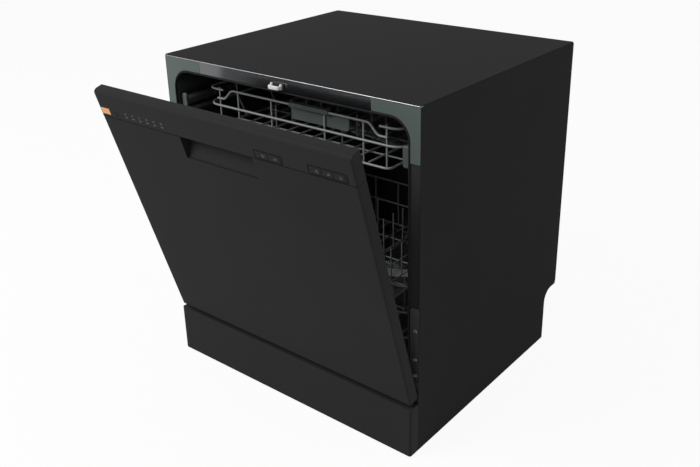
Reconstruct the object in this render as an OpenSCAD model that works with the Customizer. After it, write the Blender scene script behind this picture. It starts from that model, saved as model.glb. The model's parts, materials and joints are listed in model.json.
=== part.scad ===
// Countertop dishwasher with a drop-down door, two racks and two spray arms.
// Millimetres. +X right, +Y back, +Z up. The origin is the middle of the footprint, on the worktop.

/* [Cabinet] */
// Width over the side panels
cabinet_w = 550; // [530:5:600]
// Depth from the plinth front to the back panel
cabinet_d = 500; // [490:5:540]
// Height from the worktop to the top panel
cabinet_h = 595; // [590:1:625]
// Thickness of the sheet steel panels
sheet = 1.2; // [0.8:0.1:1.6]
// Thickness of the top panel
top_t = 2; // [1.5:0.5:4]
// How far the cabinet front stands back from the door front
setback = 22; // [20:0.5:26]
// Height of the plinth
plinth_h = 93.5; // [88:0.5:94]
// Gap between the worktop and the lower edges of the panels
panel_lift = 1; // [0.5:0.5:3]
// Depth of the recess for hoses at the bottom of the back
recess_d = 43; // [38:1:46]
// Height of that recess
recess_h = 106; // [95:1:110]
// Radius of the recess's inner corner
recess_r = 25; // [15:1:30]
// Radius of the upright front corners
corner_r = 4; // [2:0.5:6]

/* [Tub] */
// Width of the cabinet's front frame beside the opening
frame_side = 19; // [17:0.5:22]
// Width of the front frame above the opening
frame_top = 23; // [20:0.5:26]
// Corner radius of the opening
opening_r = 36; // [28:1:40]
// Width of the door seal
seal_w = 4; // [3:0.5:5]
// Height of the tub floor
tub_floor = 136; // [135:0.5:137]
// Space behind the tub for its water pipe
rear_space = 38; // [36:1:40]
// Radius of the sump opening
sump_r = 75; // [65:1:80]

/* [Door] */
// How far the door stands open at rest, in degrees
door_open = 16.5; // [14:0.5:18]
// Depth of the door's outer shell
door_t = 20; // [18:0.5:20]
// Gap from the door's side to the cabinet's side
door_inset = 1; // [0.5:0.5:3]
// Height of the hinge axis above the plinth
hinge_lift = 17; // [16.5:0.5:18.5]
// Distance from the hinge axis down to the door's lower edge
door_drop = 5.5; // [5:0.5:6]
// Gap from the door's upper edge to the cabinet's top
door_top_gap = 5; // [4:0.5:6]
// Height of the control fascia
fascia_h = 48; // [44:1:54]
// How far the inner liner reaches into the tub
liner_reach = 22; // [16:1:24]
// Width of the handle pocket
pocket_w = 158; // [130:2:180]
// Height of the handle pocket
pocket_h = 40; // [32:1:46]
// Depth of the handle pocket
pocket_d = 24; // [18:1:26]
// Radius of the hinge pin
hinge_pin_r = 3; // [2.5:0.1:3.5]

/* [Buttons] */
// Travel of each button
button_travel = 1.2; // [0.8:0.1:1.5]
// How far the buttons stand out of the fascia
button_proud = 0.6; // [0.4:0.1:1.2]
// Height of the push buttons
button_h = 10; // [8:0.5:11]
// Radius of the power button
power_r = 5; // [4:0.5:6]

/* [Racks] */
// Radius of the main rack wires
wire_r = 2; // [1.8:0.1:2.3]
// Radius of the thin rack wires
thin_r = 1.6; // [1.4:0.1:1.7]
// Gap between the upper rack's side wires and the tub
upper_side_gap = 37; // [34:1:47]
// Front of the upper rack, behind the opening
upper_front = 38; // [36:1:44]
// Gap between the upper rack and the back of the tub
upper_back_gap = 65; // [62:1:82]
// Depth of the upper rack's floor below the tub's ceiling
upper_drop = 99; // [94:1:108]
// Height of the upper rack's side walls
upper_side_h = 67; // [60:1:70]
// Gap between the lower rack's side wires and the tub
lower_side_gap = 30; // [28:1:42]
// Front of the lower rack, behind the opening
lower_front = 48; // [46:1:54]
// Gap between the lower rack and the back of the tub
lower_back_gap = 32; // [30:1:52]
// Height of the lower rack's floor above the tub's
lower_lift = 32; // [30:0.5:36]
// Height of the lower rack's walls
lower_side_h = 97; // [80:1:110]
// Radius of the lower rack's wheels
wheel_r = 12.4; // [11:0.2:14]

/* [Spray arms] */
// Gap between the lower spray arm's tip and the back of the tub
lower_arm_gap = 24; // [22:1:42]
// How far the upper spray arm's tips stay inside the rack's ends
upper_arm_gap = 3.5; // [1:0.5:18.5]
// Width of the spray arms at the hub
arm_w = 34; // [28:1:38]
// Radius of the posts that the spray arms turn on
post_r = 7; // [6:0.5:8]

/* [Feet] */
// Radius of a foot's pad
foot_r = 16; // [14:1:20]
// Radius of a foot's stud
stud_r = 4; // [3:0.5:5]
// Length of a foot's stud
stud_len = 30; // [24:1:34]

/* [Hidden] */
$fn = 48;

// Clearances
gap = 0.3;          // between pieces of different bodies that don't bear on each other
run = 0.05;         // radial play of a pin in its bore
seat = 0.05;        // play of a piece in its seat within one body
through = 1;        // how far a cutting tool runs past the face it cuts

// Cabinet
half_w = cabinet_w / 2;
front_y = -cabinet_d / 2;
back_y = cabinet_d / 2;
flange_y = front_y + setback;
inner_x = half_w - sheet;
top_z = cabinet_h - top_t;
recess_y = back_y - recess_d;
fold = 14;                              // width of the panels' folded edges
trim_t = 1.5;                           // thickness of the trims on the front frame
frame_y = flange_y + trim_t;            // front face of the front frame
tray_front = frame_y + sheet;           // front face of the base tray
tray_back = recess_y - sheet;
tray_wall = 2.5;
tray_h = 84;
tray_floor = 7;                         // underside of the tray's floor
rim_w = 8;

// Tub
open_half_w = half_w - frame_side;
open_top = cabinet_h - frame_top;
open_bottom = tub_floor - seal_w;
tub_half_w = open_half_w - seal_w;
tub_ceiling = open_top - seal_w;
tub_r = opening_r - seal_w;
tub_back = back_y - rear_space;
tub_front = frame_y + sheet;
wash_pump_r = 34;
softener_x = -half_w + 95;
softener_y = [wash_pump_r + 16, recess_y - 57];
neck_y = (softener_y[0] + softener_y[1]) / 2 - 4;   // the neck for the salt cap
softener_neck_r = 20;
pipe_r = 11;
port_z = 60;                            // height of the hose and cable ports in the recess
inlet_x = softener_x;
inlet_r = 13.2;                         // three-quarter inch pipe thread, over its crests
outlet_r = 9.5;
gland_x = half_w - 70;
gland_r = 11;
cable_r = 4.2;
foot_x = [-half_w + 40, half_w - 40];
foot_y = [front_y + 60, recess_y - 42];
foot_h = tray_floor - seat;
sump_wall = 3;
sump_bowl_r = sump_r - 1;
sump_z = port_z - 16;
pump_z = tub_floor - 62;
pump_x = sump_bowl_r + 22;
drain_pump_len = 54;
outlet_x = pump_x + drain_pump_len / 2;
basket_r = 24;
basket_y = -40;

// Door, described closed and then tilted about its hinge
hinge_y = front_y + 16;
hinge_z = plinth_h + hinge_lift;
door_half_w = half_w - door_inset;
door_bottom = hinge_z - door_drop;
door_top = cabinet_h - door_top_gap;
door_back = front_y + door_t;           // inner face of the door's flange
seam_z = door_top - fascia_h;
fascia_t = 2.5;
liner_x = open_half_w - 21;             // half width of the liner's raised pan
liner_z0 = open_bottom + 6;
liner_z1 = open_top - 12;
liner_r = 22;
liner_y = door_back + liner_reach;      // face of the pan, towards the tub
pan_back = liner_y - sheet;
arm_x = open_half_w + 2.5;              // inner face of the hinge arm
arm_t = 2.5;
lug_x = arm_x + arm_t + gap + 0.2;      // inner face of the bracket's lug
lug_t = 3;
lug_r = 6.5;
tail = [21, -21];                       // end of the arm's lever behind the front frame, from the axis
tail_r = 4;

// Door front
button_z = seam_z + 8.5;
power_x = -door_half_w + 40;
option_x = [pocket_w / 2 + 23.5, pocket_w / 2 + 47.5];
option_w = 22;
choice_x = [door_half_w - 70, door_half_w - 49, door_half_w - 28];
choice_w = 19;
light_x0 = -door_half_w + 69;
light_pitch = 17.8;
light_count = 6;

// Racks
upper_y0 = flange_y + upper_front;
upper_y1 = tub_back - upper_back_gap;
upper_len = upper_y1 - upper_y0;
upper_floor = tub_ceiling - upper_drop;
upper_mid = upper_floor + 38;
upper_top = upper_floor + upper_side_h;
upper_half_w = tub_half_w - upper_side_gap;
upper_base_w = upper_half_w - 31;       // half width of the upper rack's floor
lower_y0 = flange_y + lower_front;
lower_y1 = tub_back - lower_back_gap;
lower_len = lower_y1 - lower_y0;
lower_half_w = tub_half_w - lower_side_gap;
lower_floor = tub_floor + lower_lift;
lower_top = lower_floor + lower_side_h;
lower_mid = lower_floor + 48;
rail_z0 = upper_floor + 24;
rail_h = 30;
rail_w = 10;
rail_y0 = tub_front + 10;
rail_y1 = tub_back - 6;
rail_out = tub_half_w - 4;              // the rail's back, held off the tub wall by studs
wheel_x = lower_half_w - 18;
wheel_w = 11;
wheel_y = [lower_y0 + 80, lower_y1 - 60];
wheel_rise = 0.9;                       // the wheels' running clearance over the tub floor
wheel_z = tub_floor + wheel_r + wheel_rise;
axle_r = 3;

// Spray arms
arm_t2 = 9;
lower_arm_r = tub_back - lower_arm_gap;
upper_arm_r = upper_len / 2 - upper_arm_gap;
lower_arm_z = tub_floor + 12;
upper_arm_z = upper_floor - 22;

// Points of an arc, and of a rectangle with round corners at the bottom (rb) and top (rt)
function arc(c, r, a0, a1, n = 8) = [for (i = [0 : n]) let (a = a0 + (a1 - a0) * i / n)
    [c[0] + r * cos(a), c[1] + r * sin(a)]];
function corner(c, r, a0, a1, n) = r > 0 ? arc(c, r, a0, a1, n) : [c];
function round_rect(x0, y0, x1, y1, rb, rt, n = 8) = concat(
    corner([x1 - rt, y1 - rt], rt, 0, 90, n), corner([x0 + rt, y1 - rt], rt, 90, 180, n),
    corner([x0 + rb, y0 + rb], rb, 180, 270, n), corner([x1 - rb, y0 + rb], rb, 270, 360, n));

// Extrudes an outline drawn in X and Z from y0 to y1
module along_y(y0, y1) translate([0, y1, 0]) rotate([90, 0, 0]) linear_extrude(y1 - y0) children();
// Extrudes an outline drawn in Y and Z from x0 to x1
module along_x(x0, x1) translate([x0, 0, 0]) rotate([90, 0, 90]) linear_extrude(x1 - x0) children();
module box(lo, hi) translate(lo) cube(hi - lo);
module mirrored() { children(); mirror([1, 0, 0]) children(); }
module disc_y(x, y0, y1, z, r) translate([x, y1, z]) rotate([90, 0, 0]) cylinder(r = r, h = y1 - y0);
module disc_x(x0, x1, y, z, r) translate([x0, y, z]) rotate([0, 90, 0]) cylinder(r = r, h = x1 - x0);
module upright(x, y, z0, z1, r = thin_r) translate([x, y, z0]) cylinder(r = r, h = z1 - z0);
module door_pose() translate([0, hinge_y, hinge_z]) rotate([door_open, 0, 0])
    translate([0, -hinge_y, -hinge_z]) children();

// ---------------------------------------------------------------- cabinet

module hose_recess() {
    polygon(concat([[back_y + through, panel_lift - through * 2], [back_y + through, recess_h]],
        arc([recess_y + recess_r, recess_h - recess_r], recess_r, 90, 180),
        [[recess_y, panel_lift - through * 2]]));
}

module top_panel() color([0.19, 0.19, 0.19]) translate([0, 0, top_z]) linear_extrude(top_t)
    polygon(round_rect(-half_w, flange_y, half_w, back_y, 3, 3, 4));

module side_panel(side) {
    x0 = side > 0 ? inner_x : -half_w;
    fold_x = side > 0 ? inner_x - fold : -inner_x;
    along_x(x0, x0 + sheet) difference() {
        polygon([[flange_y, panel_lift], [back_y - sheet, panel_lift], [back_y - sheet, top_z],
            [flange_y, top_z]]);
        hose_recess();
    }
    box([fold_x, frame_y + sheet, top_z - sheet], [fold_x + fold, back_y - sheet, top_z]);
    along_x(fold_x, fold_x + fold)
        polygon([[back_y - sheet * 2, recess_h + sheet], [back_y - sheet, recess_h + sheet],
            [back_y - sheet, top_z - sheet / 2], [back_y - sheet * 2, top_z - sheet / 2]]);
}

module left_side_panel() color([0.14, 0.14, 0.14]) side_panel(-1);
module right_side_panel() color([0.14, 0.14, 0.14]) side_panel(1);

// A bent sheet: the back, the roof of the hose recess and the wall behind it
module back_panel() color([0.16, 0.16, 0.16]) difference() {
    union() {
        along_x(-half_w, half_w) polygon([[back_y - sheet, recess_h + sheet], [back_y, recess_h + sheet],
            [back_y, top_z], [back_y - sheet, top_z]]);
        along_x(-inner_x, inner_x) polygon(concat(
            [[back_y, recess_h], [back_y, recess_h + sheet]],
            arc([recess_y + recess_r, recess_h - recess_r], recess_r + sheet, 90, 180),
            [[recess_y - sheet, panel_lift], [recess_y, panel_lift]],
            arc([recess_y + recess_r, recess_h - recess_r], recess_r, 180, 90)));
    }
    rear_ports();
}

// Holes through the wall of the hose recess
module rear_ports() for (p = [[inlet_x, inlet_r], [outlet_x, outlet_r], [gland_x, gland_r]])
    disc_y(p[0], tray_back - tray_wall - through, recess_y + through, port_z, p[1] + seat);

module base_tray() color([0.12, 0.12, 0.13]) difference() {
    union() {
        difference() {
            box([-inner_x, tray_front, 0], [inner_x, tray_back, tray_h]);
            box([-inner_x + tray_wall, tray_front + tray_wall, tray_floor + tray_wall],
                [inner_x - tray_wall, tray_back - tray_wall, tray_h + through]);
            box([-inner_x + rim_w, tray_front + rim_w, -through],
                [inner_x - rim_w, tray_back - rim_w, tray_floor]);
        }
        for (x = foot_x, y = foot_y) translate([x, y, tray_floor + tray_wall / 2])
            cylinder(r = stud_r + 5, h = stud_len);
    }
    for (x = foot_x, y = foot_y) translate([x, y, -through])
        cylinder(r = stud_r + run, h = tray_floor + tray_wall + stud_len + 2 * through);
    rear_ports();
}

module plinth() color([0.15, 0.15, 0.15]) difference() {
    union() {
        translate([0, 0, panel_lift]) linear_extrude(plinth_h - panel_lift)
            polygon(round_rect(-half_w, front_y, half_w, flange_y, corner_r, 0, 4));
        box([-inner_x + seat, flange_y - through, panel_lift], [inner_x - seat, frame_y, plinth_h]);
    }
    translate([0, 0, -through]) linear_extrude(plinth_h + through - 2)
        polygon(round_rect(-half_w + 2, front_y + 2, half_w - 2, flange_y - 2, corner_r - 1, 0, 4));
    box([-inner_x + fold, flange_y - 3, -through], [inner_x - fold, frame_y + through, plinth_h - 2]);
}

// ---------------------------------------------------------------- front frame

screw_r = 1.8;
screw_hole_r = screw_r + 0.2;
frame_foot = 60;         // lower edge of the frame, in front of the base tray
module front_frame() color([0.05, 0.05, 0.05]) difference() {
    along_y(frame_y, frame_y + sheet) difference() {
        polygon([[-inner_x, frame_foot], [inner_x, frame_foot], [inner_x, top_z], [-inner_x, top_z]]);
        polygon(round_rect(-open_half_w, open_bottom, open_half_w, open_top, opening_r, opening_r, 12));
    }
    mirrored() box([arm_x - 1, frame_y - through, tray_h],
        [arm_x + arm_t + 1, frame_y + sheet + through, hinge_z + 29.5]);
    mirrored() for (z = bracket_screws)
        disc_y(bracket_x, frame_y - through, frame_y + sheet + through, z, screw_hole_r);
}

strip_half_w = open_half_w - 70;
module top_trim_strip() color([0.09, 0.09, 0.09]) along_y(flange_y, frame_y)
    polygon([[-strip_half_w, open_top], [strip_half_w, open_top],
        [strip_half_w, top_z], [-strip_half_w, top_z]]);

trim_low = open_top - 67;
module corner_trims() color([0.35, 0.41, 0.39]) mirrored() along_y(flange_y, frame_y)
    polygon(concat([[strip_half_w, top_z], [strip_half_w, open_top]],
        arc([open_half_w - opening_r, open_top - opening_r], opening_r, 90, 0, 12),
        [[open_half_w, trim_low], [inner_x, trim_low], [inner_x, top_z]]));

striker_x = -2;
striker_w = 24;
striker_out = 12;
striker_z = door_top - 14;
striker_bar = 4;
module latch_striker() color([0.9, 0.9, 0.88]) {
    box([striker_x - striker_w / 2 - 3, flange_y - 2, striker_z - 2],
        [striker_x + striker_w / 2 + 3, flange_y, striker_z + 9]);
    for (x = [-striker_w / 2, striker_w / 2 - striker_bar])
        box([striker_x + x, flange_y - striker_out, striker_z],
            [striker_x + x + striker_bar, flange_y - 1, striker_z + 6]);
    box([striker_x - striker_w / 2, flange_y - striker_out, striker_z],
        [striker_x + striker_w / 2, flange_y - striker_out + striker_bar, striker_z + 6]);
}

// ---------------------------------------------------------------- tub

module tub() color([0.3, 0.3, 0.31]) difference() {
    along_y(tub_front, tub_back + sheet)
        polygon(round_rect(-tub_half_w - sheet, tub_floor - sheet, tub_half_w + sheet, tub_ceiling + sheet,
            tub_r + sheet, tub_r + sheet, 12));
    along_y(tub_front - through, tub_back)
        polygon(round_rect(-tub_half_w, tub_floor, tub_half_w, tub_ceiling, tub_r, tub_r, 12));
    translate([0, 0, tub_floor - 20]) cylinder(r = sump_r + 3 + seat, h = 40);
    translate([softener_x, neck_y, tub_floor - 20]) cylinder(r = softener_neck_r + seat, h = 40);
    disc_y(0, tub_back - through, tub_back + sheet + through, feed_z, pipe_r + seat);
}

// A rubber lip let into the front of the tub, with a bulb towards the door
module door_seal() color([0.03, 0.03, 0.03]) {
    along_y(tub_front - 2.2, tub_front) difference() {
        polygon(round_rect(-open_half_w + 0.05, open_bottom + 0.05, open_half_w - 0.05, open_top - 0.05,
            opening_r, opening_r, 12));
        polygon(round_rect(-tub_half_w, tub_floor, tub_half_w, tub_ceiling, tub_r, tub_r, 12));
    }
}

module rail(side) {
    x = side * rail_out;
    s = side > 0 ? 0 : 1;
    translate([x, 0, 0]) mirror([s, 0, 0]) {
        box([-sheet, rail_y0, rail_z0], [0, rail_y1, rail_z0 + rail_h]);
        for (z = [rail_z0, rail_z0 + rail_h - sheet])
            box([-rail_w, rail_y0, z], [0, rail_y1, z + sheet]);
        box([-rail_w, rail_y0, rail_z0], [-rail_w + sheet, rail_y1, rail_z0 + 7]);
        box([-rail_w, rail_y0, rail_z0 + rail_h - 7], [-rail_w + sheet, rail_y1, rail_z0 + rail_h]);
        for (y = [rail_y0 + 50, rail_y1 - 50])
            disc_x(-sheet / 2, tub_half_w - rail_out, y, rail_z0 + rail_h / 2, 6);
    }
}
module rack_rails() color([0.6, 0.61, 0.62]) { rail(1); rail(-1); }

// Plastic stops on the front ends of the rails
module rail_end_caps() color([0.55, 0.56, 0.56]) mirrored() along_y(rail_y0 - 5, rail_y0)
    polygon(round_rect(rail_out - rail_w - 1, rail_z0 - 1, rail_out + 1, rail_z0 + rail_h + 3, 4, 4, 4));

// ---------------------------------------------------------------- hinge

bracket_x = open_half_w + 11;
bracket_in = open_half_w + 1.5;         // edge of the bracket's plate towards the opening
bracket_z0 = hinge_z + 9.5;
bracket_h = 148;
bracket_z1 = bracket_z0 + bracket_h;
bracket_screws = [for (d = [25, 55, 107]) bracket_z0 + d];
module hinge_brackets() color([0.5, 0.5, 0.5]) mirrored() {
    difference() {
        along_y(flange_y, frame_y) polygon(concat([[inner_x, bracket_z0], [inner_x, bracket_z1]],
            arc([bracket_in + 6, bracket_z1 - 6], 6, 90, 180, 6),
            [[bracket_in, bracket_z0 + 36], [lug_x, bracket_z0 + 20], [lug_x, bracket_z0]]));
        for (z = bracket_screws) disc_y(bracket_x, flange_y - through, frame_y + through, z, screw_hole_r);
    }
    difference() {
        along_x(lug_x, lug_x + lug_t) polygon(concat([[frame_y, hinge_z - lug_r + 1],
            [frame_y, bracket_z0 + 4], [hinge_y + 4, bracket_z0 + 4]],
            arc([hinge_y, hinge_z], lug_r, 70, 270, 12)));
        disc_x(lug_x - through, lug_x + lug_t + through, hinge_y, hinge_z, hinge_pin_r + run);
    }
}

module hinge_screws() color([0.7, 0.7, 0.7]) mirrored() for (z = bracket_screws) {
    disc_y(bracket_x, flange_y - 1.2, flange_y, z, screw_r * 2);
    disc_y(bracket_x, flange_y - 0.5, frame_y + sheet + 3, z, screw_r);
}

module hinge_arms() color([0.45, 0.45, 0.46]) door_pose() mirrored() {
    along_x(arm_x, arm_x + arm_t) union() {
        translate([hinge_y, hinge_z]) circle(lug_r - 1);
        translate([front_y + 4, hinge_z - 2]) square([door_t - 8 - sheet, 150]);
        translate([hinge_y, hinge_z]) rotate(-45) translate([0, -tail_r])
            square([norm(tail), 2 * tail_r]);
        translate([hinge_y + tail[0], hinge_z + tail[1]]) circle(tail_r + 0.4);
    }
    disc_x(arm_x + arm_t / 2, lug_x + lug_t + 1, hinge_y, hinge_z, hinge_pin_r);
}

// Where the arm's lever stands at rest
tail_rest = [hinge_y + tail[0] * cos(door_open) - tail[1] * sin(door_open),
    hinge_z + tail[0] * sin(door_open) + tail[1] * cos(door_open)];
spring_r = 6;
spring_wire = 0.9;
spring_turns = 11;
spring_steps = 12;
spring_sides = 6;
spring_z0 = tray_floor + tray_wall + spring_wire + gap;
spring_z1 = tail_rest[1] - tail_r - 0.4 - spring_wire - gap;
function spring_point(i, j) = let (a = 360 * i / spring_steps, b = 360 * j / spring_sides,
    r = spring_r + spring_wire * cos(b))
    [r * cos(a), r * sin(a), spring_z0 + (spring_z1 - spring_z0) * i / (spring_turns * spring_steps)
        + spring_wire * sin(b)];
module door_springs() color([0.6, 0.6, 0.6]) {
    rings = spring_turns * spring_steps;
    s = spring_sides;
    mirrored() translate([arm_x + arm_t / 2, tail_rest[0], 0]) polyhedron(
        points = [for (i = [0 : rings], j = [0 : s - 1]) spring_point(i, j)],
        faces = concat([[for (j = [0 : s - 1]) j]], [[for (j = [s - 1 : -1 : 0]) rings * s + j]],
            [for (i = [0 : rings - 1], j = [0 : s - 1]) let (k = (j + 1) % s)
                each [[i * s + j, (i + 1) * s + j, i * s + k],
                    [i * s + k, (i + 1) * s + j, (i + 1) * s + k]]]));
}

// ---------------------------------------------------------------- base

module sump() color([0.5, 0.5, 0.52]) difference() {
    union() {
        rotate_extrude() polygon([[0, sump_z], [sump_bowl_r, sump_z], [sump_bowl_r, tub_floor - 24],
            [sump_r + 3, tub_floor - 18], [sump_r + 3, tub_floor], [sump_r + 11, tub_floor],
            [sump_r + 11, tub_floor + 1.8], [sump_r, tub_floor + 1.8], [sump_r, tub_floor - 1],
            [0, tub_floor - 1], [0, tub_floor - 3], [sump_r, tub_floor - 3], [sump_r, tub_floor - 17],
            [sump_bowl_r - sump_wall, tub_floor - 24], [sump_bowl_r - sump_wall, sump_z + sump_wall],
            [0, sump_z + sump_wall]]);
        translate([0, 0, sump_z + 1]) cylinder(r = post_r, h = lower_arm_z + arm_t2 + 3 - sump_z);
        disc_x(-pump_x, -sump_bowl_r + 2, 0, pump_z, 16);
        disc_x(sump_bowl_r - 2, pump_x, 0, port_z, 12);
    }
    disc_x(-pump_x - through, -sump_bowl_r + 12, 0, pump_z, 13);
    disc_x(sump_bowl_r - 12, pump_x + through, 0, port_z, 9);
    translate([0, basket_y, tub_floor - 4]) cylinder(r = basket_r + run, h = 4);
}

// The circulation pump, with its heater ring round the volute
module wash_pump() color([0.35, 0.35, 0.36]) {
    disc_x(-pump_x - 26, -pump_x, 0, pump_z, wash_pump_r);
    disc_x(-pump_x - 34, -pump_x - 25, 0, pump_z, 31);
    disc_x(-pump_x - 96, -pump_x - 33, 0, pump_z, 29);
    upright(pipe_x, 0, pump_z, pipe_low - elbow - seat, pipe_r + 1.5);
    box([-pump_x - 80, -24, tray_floor + tray_wall], [-pump_x - 46, 24, pump_z - 20]);
}

drain_pump_r = 24;
module drain_pump() color([0.2, 0.2, 0.22]) {
    disc_x(pump_x, pump_x + drain_pump_len, 0, port_z, drain_pump_r);
    disc_x(pump_x + drain_pump_len - 1, pump_x + drain_pump_len + 30, 0, port_z, 17);
    disc_y(outlet_x, 0, drain_pump_r + 2, port_z, outlet_r + 3);
    box([pump_x + 10, -14, tray_floor + tray_wall], [pump_x + 44, 14, port_z - 18]);
}

// A run of straight tubes with round elbows
module route(points, r) {
    for (i = [1 : len(points) - 1]) {
        d = points[i] - points[i - 1];
        translate(points[i - 1]) rotate([0, acos(d[2] / norm(d)), atan2(d[1], d[0])])
            cylinder(r = r, h = norm(d));
    }
    for (i = [1 : 1 : len(points) - 2]) translate(points[i]) sphere(r = r * 1.03);
}

elbow = pipe_r + 2;      // half width of the moulded elbows
pipe_x = -pump_x - 13;
pipe_y = tub_back + sheet + elbow + gap;
pipe_low = tub_floor - sheet - elbow - gap;
feed_r = 5;
feed_z = upper_arm_z + arm_t2 + feed_r + 0.5;
module elbow_block(x, y, z) box([x - elbow, y - elbow, z - elbow], [x + elbow, y + elbow, z + elbow]);
module wash_pipe() color([0.75, 0.76, 0.78]) difference() {
    union() {
        elbow_block(pipe_x, 0, pipe_low);
        disc_y(pipe_x, 1, pipe_y - 1, pipe_low, pipe_r);
        elbow_block(pipe_x, pipe_y, pipe_low);
        upright(pipe_x, pipe_y, pipe_low, feed_z, pipe_r);
        elbow_block(pipe_x, pipe_y, feed_z);
        disc_x(pipe_x, 0, pipe_y, feed_z, pipe_r);
        elbow_block(0, pipe_y, feed_z);
        disc_y(0, tub_back - 3, pipe_y, feed_z, pipe_r);
        disc_y(0, tub_back - 3, tub_back - seat, feed_z, pipe_r + 4);
    }
    disc_y(0, tub_back - 3 - through, tub_back + 12, feed_z, feed_r + 1.5);
}

softener_lo = [softener_x - 50, softener_y[0], tray_floor + tray_wall];
softener_hi = [pipe_x - 2 * elbow, softener_y[1], tub_floor - sheet];
cap_plug_r = 16;
module water_softener() color([0.7, 0.7, 0.72]) difference() {
    union() {
        translate([0, 0, softener_lo[2]]) linear_extrude(softener_hi[2] - softener_lo[2])
            polygon(round_rect(softener_lo[0], softener_lo[1], softener_hi[0], softener_hi[1], 12, 12, 5));
        translate([softener_x, neck_y, softener_hi[2] - 1])
            cylinder(r = softener_neck_r, h = sheet + 3.5);
    }
    translate([softener_x, neck_y, softener_hi[2] - 20]) cylinder(r = cap_plug_r + run, h = 40);
}

module salt_cap() color([0.82, 0.82, 0.8]) translate([softener_x, neck_y, 0]) {
    translate([0, 0, tub_floor - 10]) cylinder(r = cap_plug_r, h = 14);
    translate([0, 0, tub_floor + 2.5 + gap]) cylinder(r = softener_neck_r + 2, h = 3);
    box([-15, -2.5, tub_floor + 5], [15, 2.5, tub_floor + 9]);
}

module inlet_valve() color([0.85, 0.85, 0.83]) difference() {
    union() {
        disc_y(inlet_x, recess_y - 20, recess_y + 16, port_z, inlet_r);
        disc_y(inlet_x, recess_y, recess_y + 2.5, port_z, inlet_r + 5);
        box([inlet_x - 20, recess_y - 38, port_z - 18], [inlet_x + 20, tray_back - tray_wall, port_z + 18]);
        disc_y(inlet_x, softener_hi[1], recess_y - 30, port_z, 7);
    }
    disc_y(inlet_x, recess_y - 30, recess_y + 20, port_z, 8);
}

module drain_connector() color([0.15, 0.15, 0.16]) difference() {
    union() {
        disc_y(outlet_x, drain_pump_r + 2 + seat, recess_y + 30, port_z, outlet_r);
        disc_y(outlet_x, recess_y, recess_y + 2.5, port_z, outlet_r + 5);
    }
    disc_y(outlet_x, drain_pump_r + 10, recess_y + 31, port_z, outlet_r - 2.5);
}

module cable_gland() color([0.08, 0.08, 0.08]) difference() {
    union() {
        disc_y(gland_x, recess_y - 14, recess_y + 12, port_z, gland_r);
        disc_y(gland_x, recess_y, recess_y + 5, port_z, gland_r + 4);
    }
    disc_y(gland_x, recess_y - 15, recess_y + 13, port_z, cable_r);
}

// A cup with slotted sides and a grip bar, let into the sump's deck
module filter_basket() color([0.6, 0.6, 0.58]) translate([0, basket_y, 0]) {
    difference() {
        translate([0, 0, tub_floor - 58]) cylinder(r = basket_r, h = 57 + 2);
        translate([0, 0, tub_floor - 56]) cylinder(r = basket_r - 2, h = 60);
        for (a = [0 : 30 : 150]) rotate(a)
            box([-basket_r - 1, -2, tub_floor - 50], [basket_r + 1, 2, tub_floor - 10]);
    }
    translate([0, 0, tub_floor - 1 + gap]) difference() {
        cylinder(r = basket_r + 4, h = 2);
        translate([0, 0, -1]) cylinder(r = basket_r - 2, h = 4);
    }
    box([-basket_r + 1, -2.5, tub_floor - 3], [basket_r - 1, 2.5, tub_floor + 7]);
}

module foot(x, y) color([0.1, 0.1, 0.1]) translate([x, y, 0]) {
    cylinder(r = foot_r, h = foot_h);
    translate([0, 0, foot_h - 1]) cylinder(r = stud_r, h = stud_len + 1);
}
module front_left_foot() foot(foot_x[0], foot_y[0]);
module front_right_foot() foot(foot_x[1], foot_y[0]);
module rear_left_foot() foot(foot_x[0], foot_y[1]);
module rear_right_foot() foot(foot_x[1], foot_y[1]);

// ---------------------------------------------------------------- spray arms

jets = 4;                // on each half of an arm
jet_r = 1.6;
jet_depth = 3;
module spray_arm(reach, tip_w) difference() {
    union() {
        cylinder(r = arm_w / 2 + 2, h = arm_t2);
        translate([0, 0, 1]) linear_extrude(arm_t2 - 2) polygon(concat(
            arc([reach - tip_w / 2, 0], tip_w / 2, -90, 90, 6), [[0, arm_w / 2]],
            arc([-reach + tip_w / 2, 0], tip_w / 2, 90, 270, 6), [[0, -arm_w / 2]]));
    }
    translate([0, 0, -through]) cylinder(r = post_r + run, h = arm_t2 + 2 * through);
    for (s = [-1, 1], i = [1 : jets]) upright(s * (30 + i * (reach - 48) / (jets + 0.2)), s * (i % 2) * 4,
        arm_t2 - jet_depth, arm_t2 + through, jet_r);
}

lower_arm_turn = 28;
module lower_spray_arm() color([0.6, 0.61, 0.62])
    translate([0, 0, lower_arm_z]) rotate(lower_arm_turn) spray_arm(lower_arm_r, 24);

upper_hub_y = upper_y0 + upper_len / 2;
upper_arm_turn = -12;
module upper_spray_arm() color([0.45, 0.46, 0.47])
    translate([0, upper_hub_y, upper_arm_z]) rotate(upper_arm_turn) spray_arm(upper_arm_r, 22);

// The tube under the upper rack that feeds its spray arm, and the post that the arm turns on
module upper_feed_pipe() color([0.5, 0.51, 0.52]) {
    disc_y(0, upper_hub_y - 8, upper_y1 + 2, feed_z, feed_r);
    translate([0, upper_hub_y, upper_arm_z - 4]) cylinder(r = post_r, h = feed_z - upper_arm_z + 4);
    translate([0, upper_hub_y, upper_arm_z - 4]) cylinder(r = post_r + 4, h = 4 - gap);
    for (y = [upper_x_bars[1], upper_x_bars[3]])
        box([-6, y - 5, feed_z], [6, y + 5, upper_floor + bar_lift - thin_r - seat]);
}

// ---------------------------------------------------------------- racks

bar_lift = 0.2;          // how far the cross bars' axes stand above the floor hoop's
long_lift = 3;           // and the long bars'
inset = 2.6;             // upright wires are welded this far inside the hoops
brace_r = 1.5;           // radius of the slanting wires below the rack's sides

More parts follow.
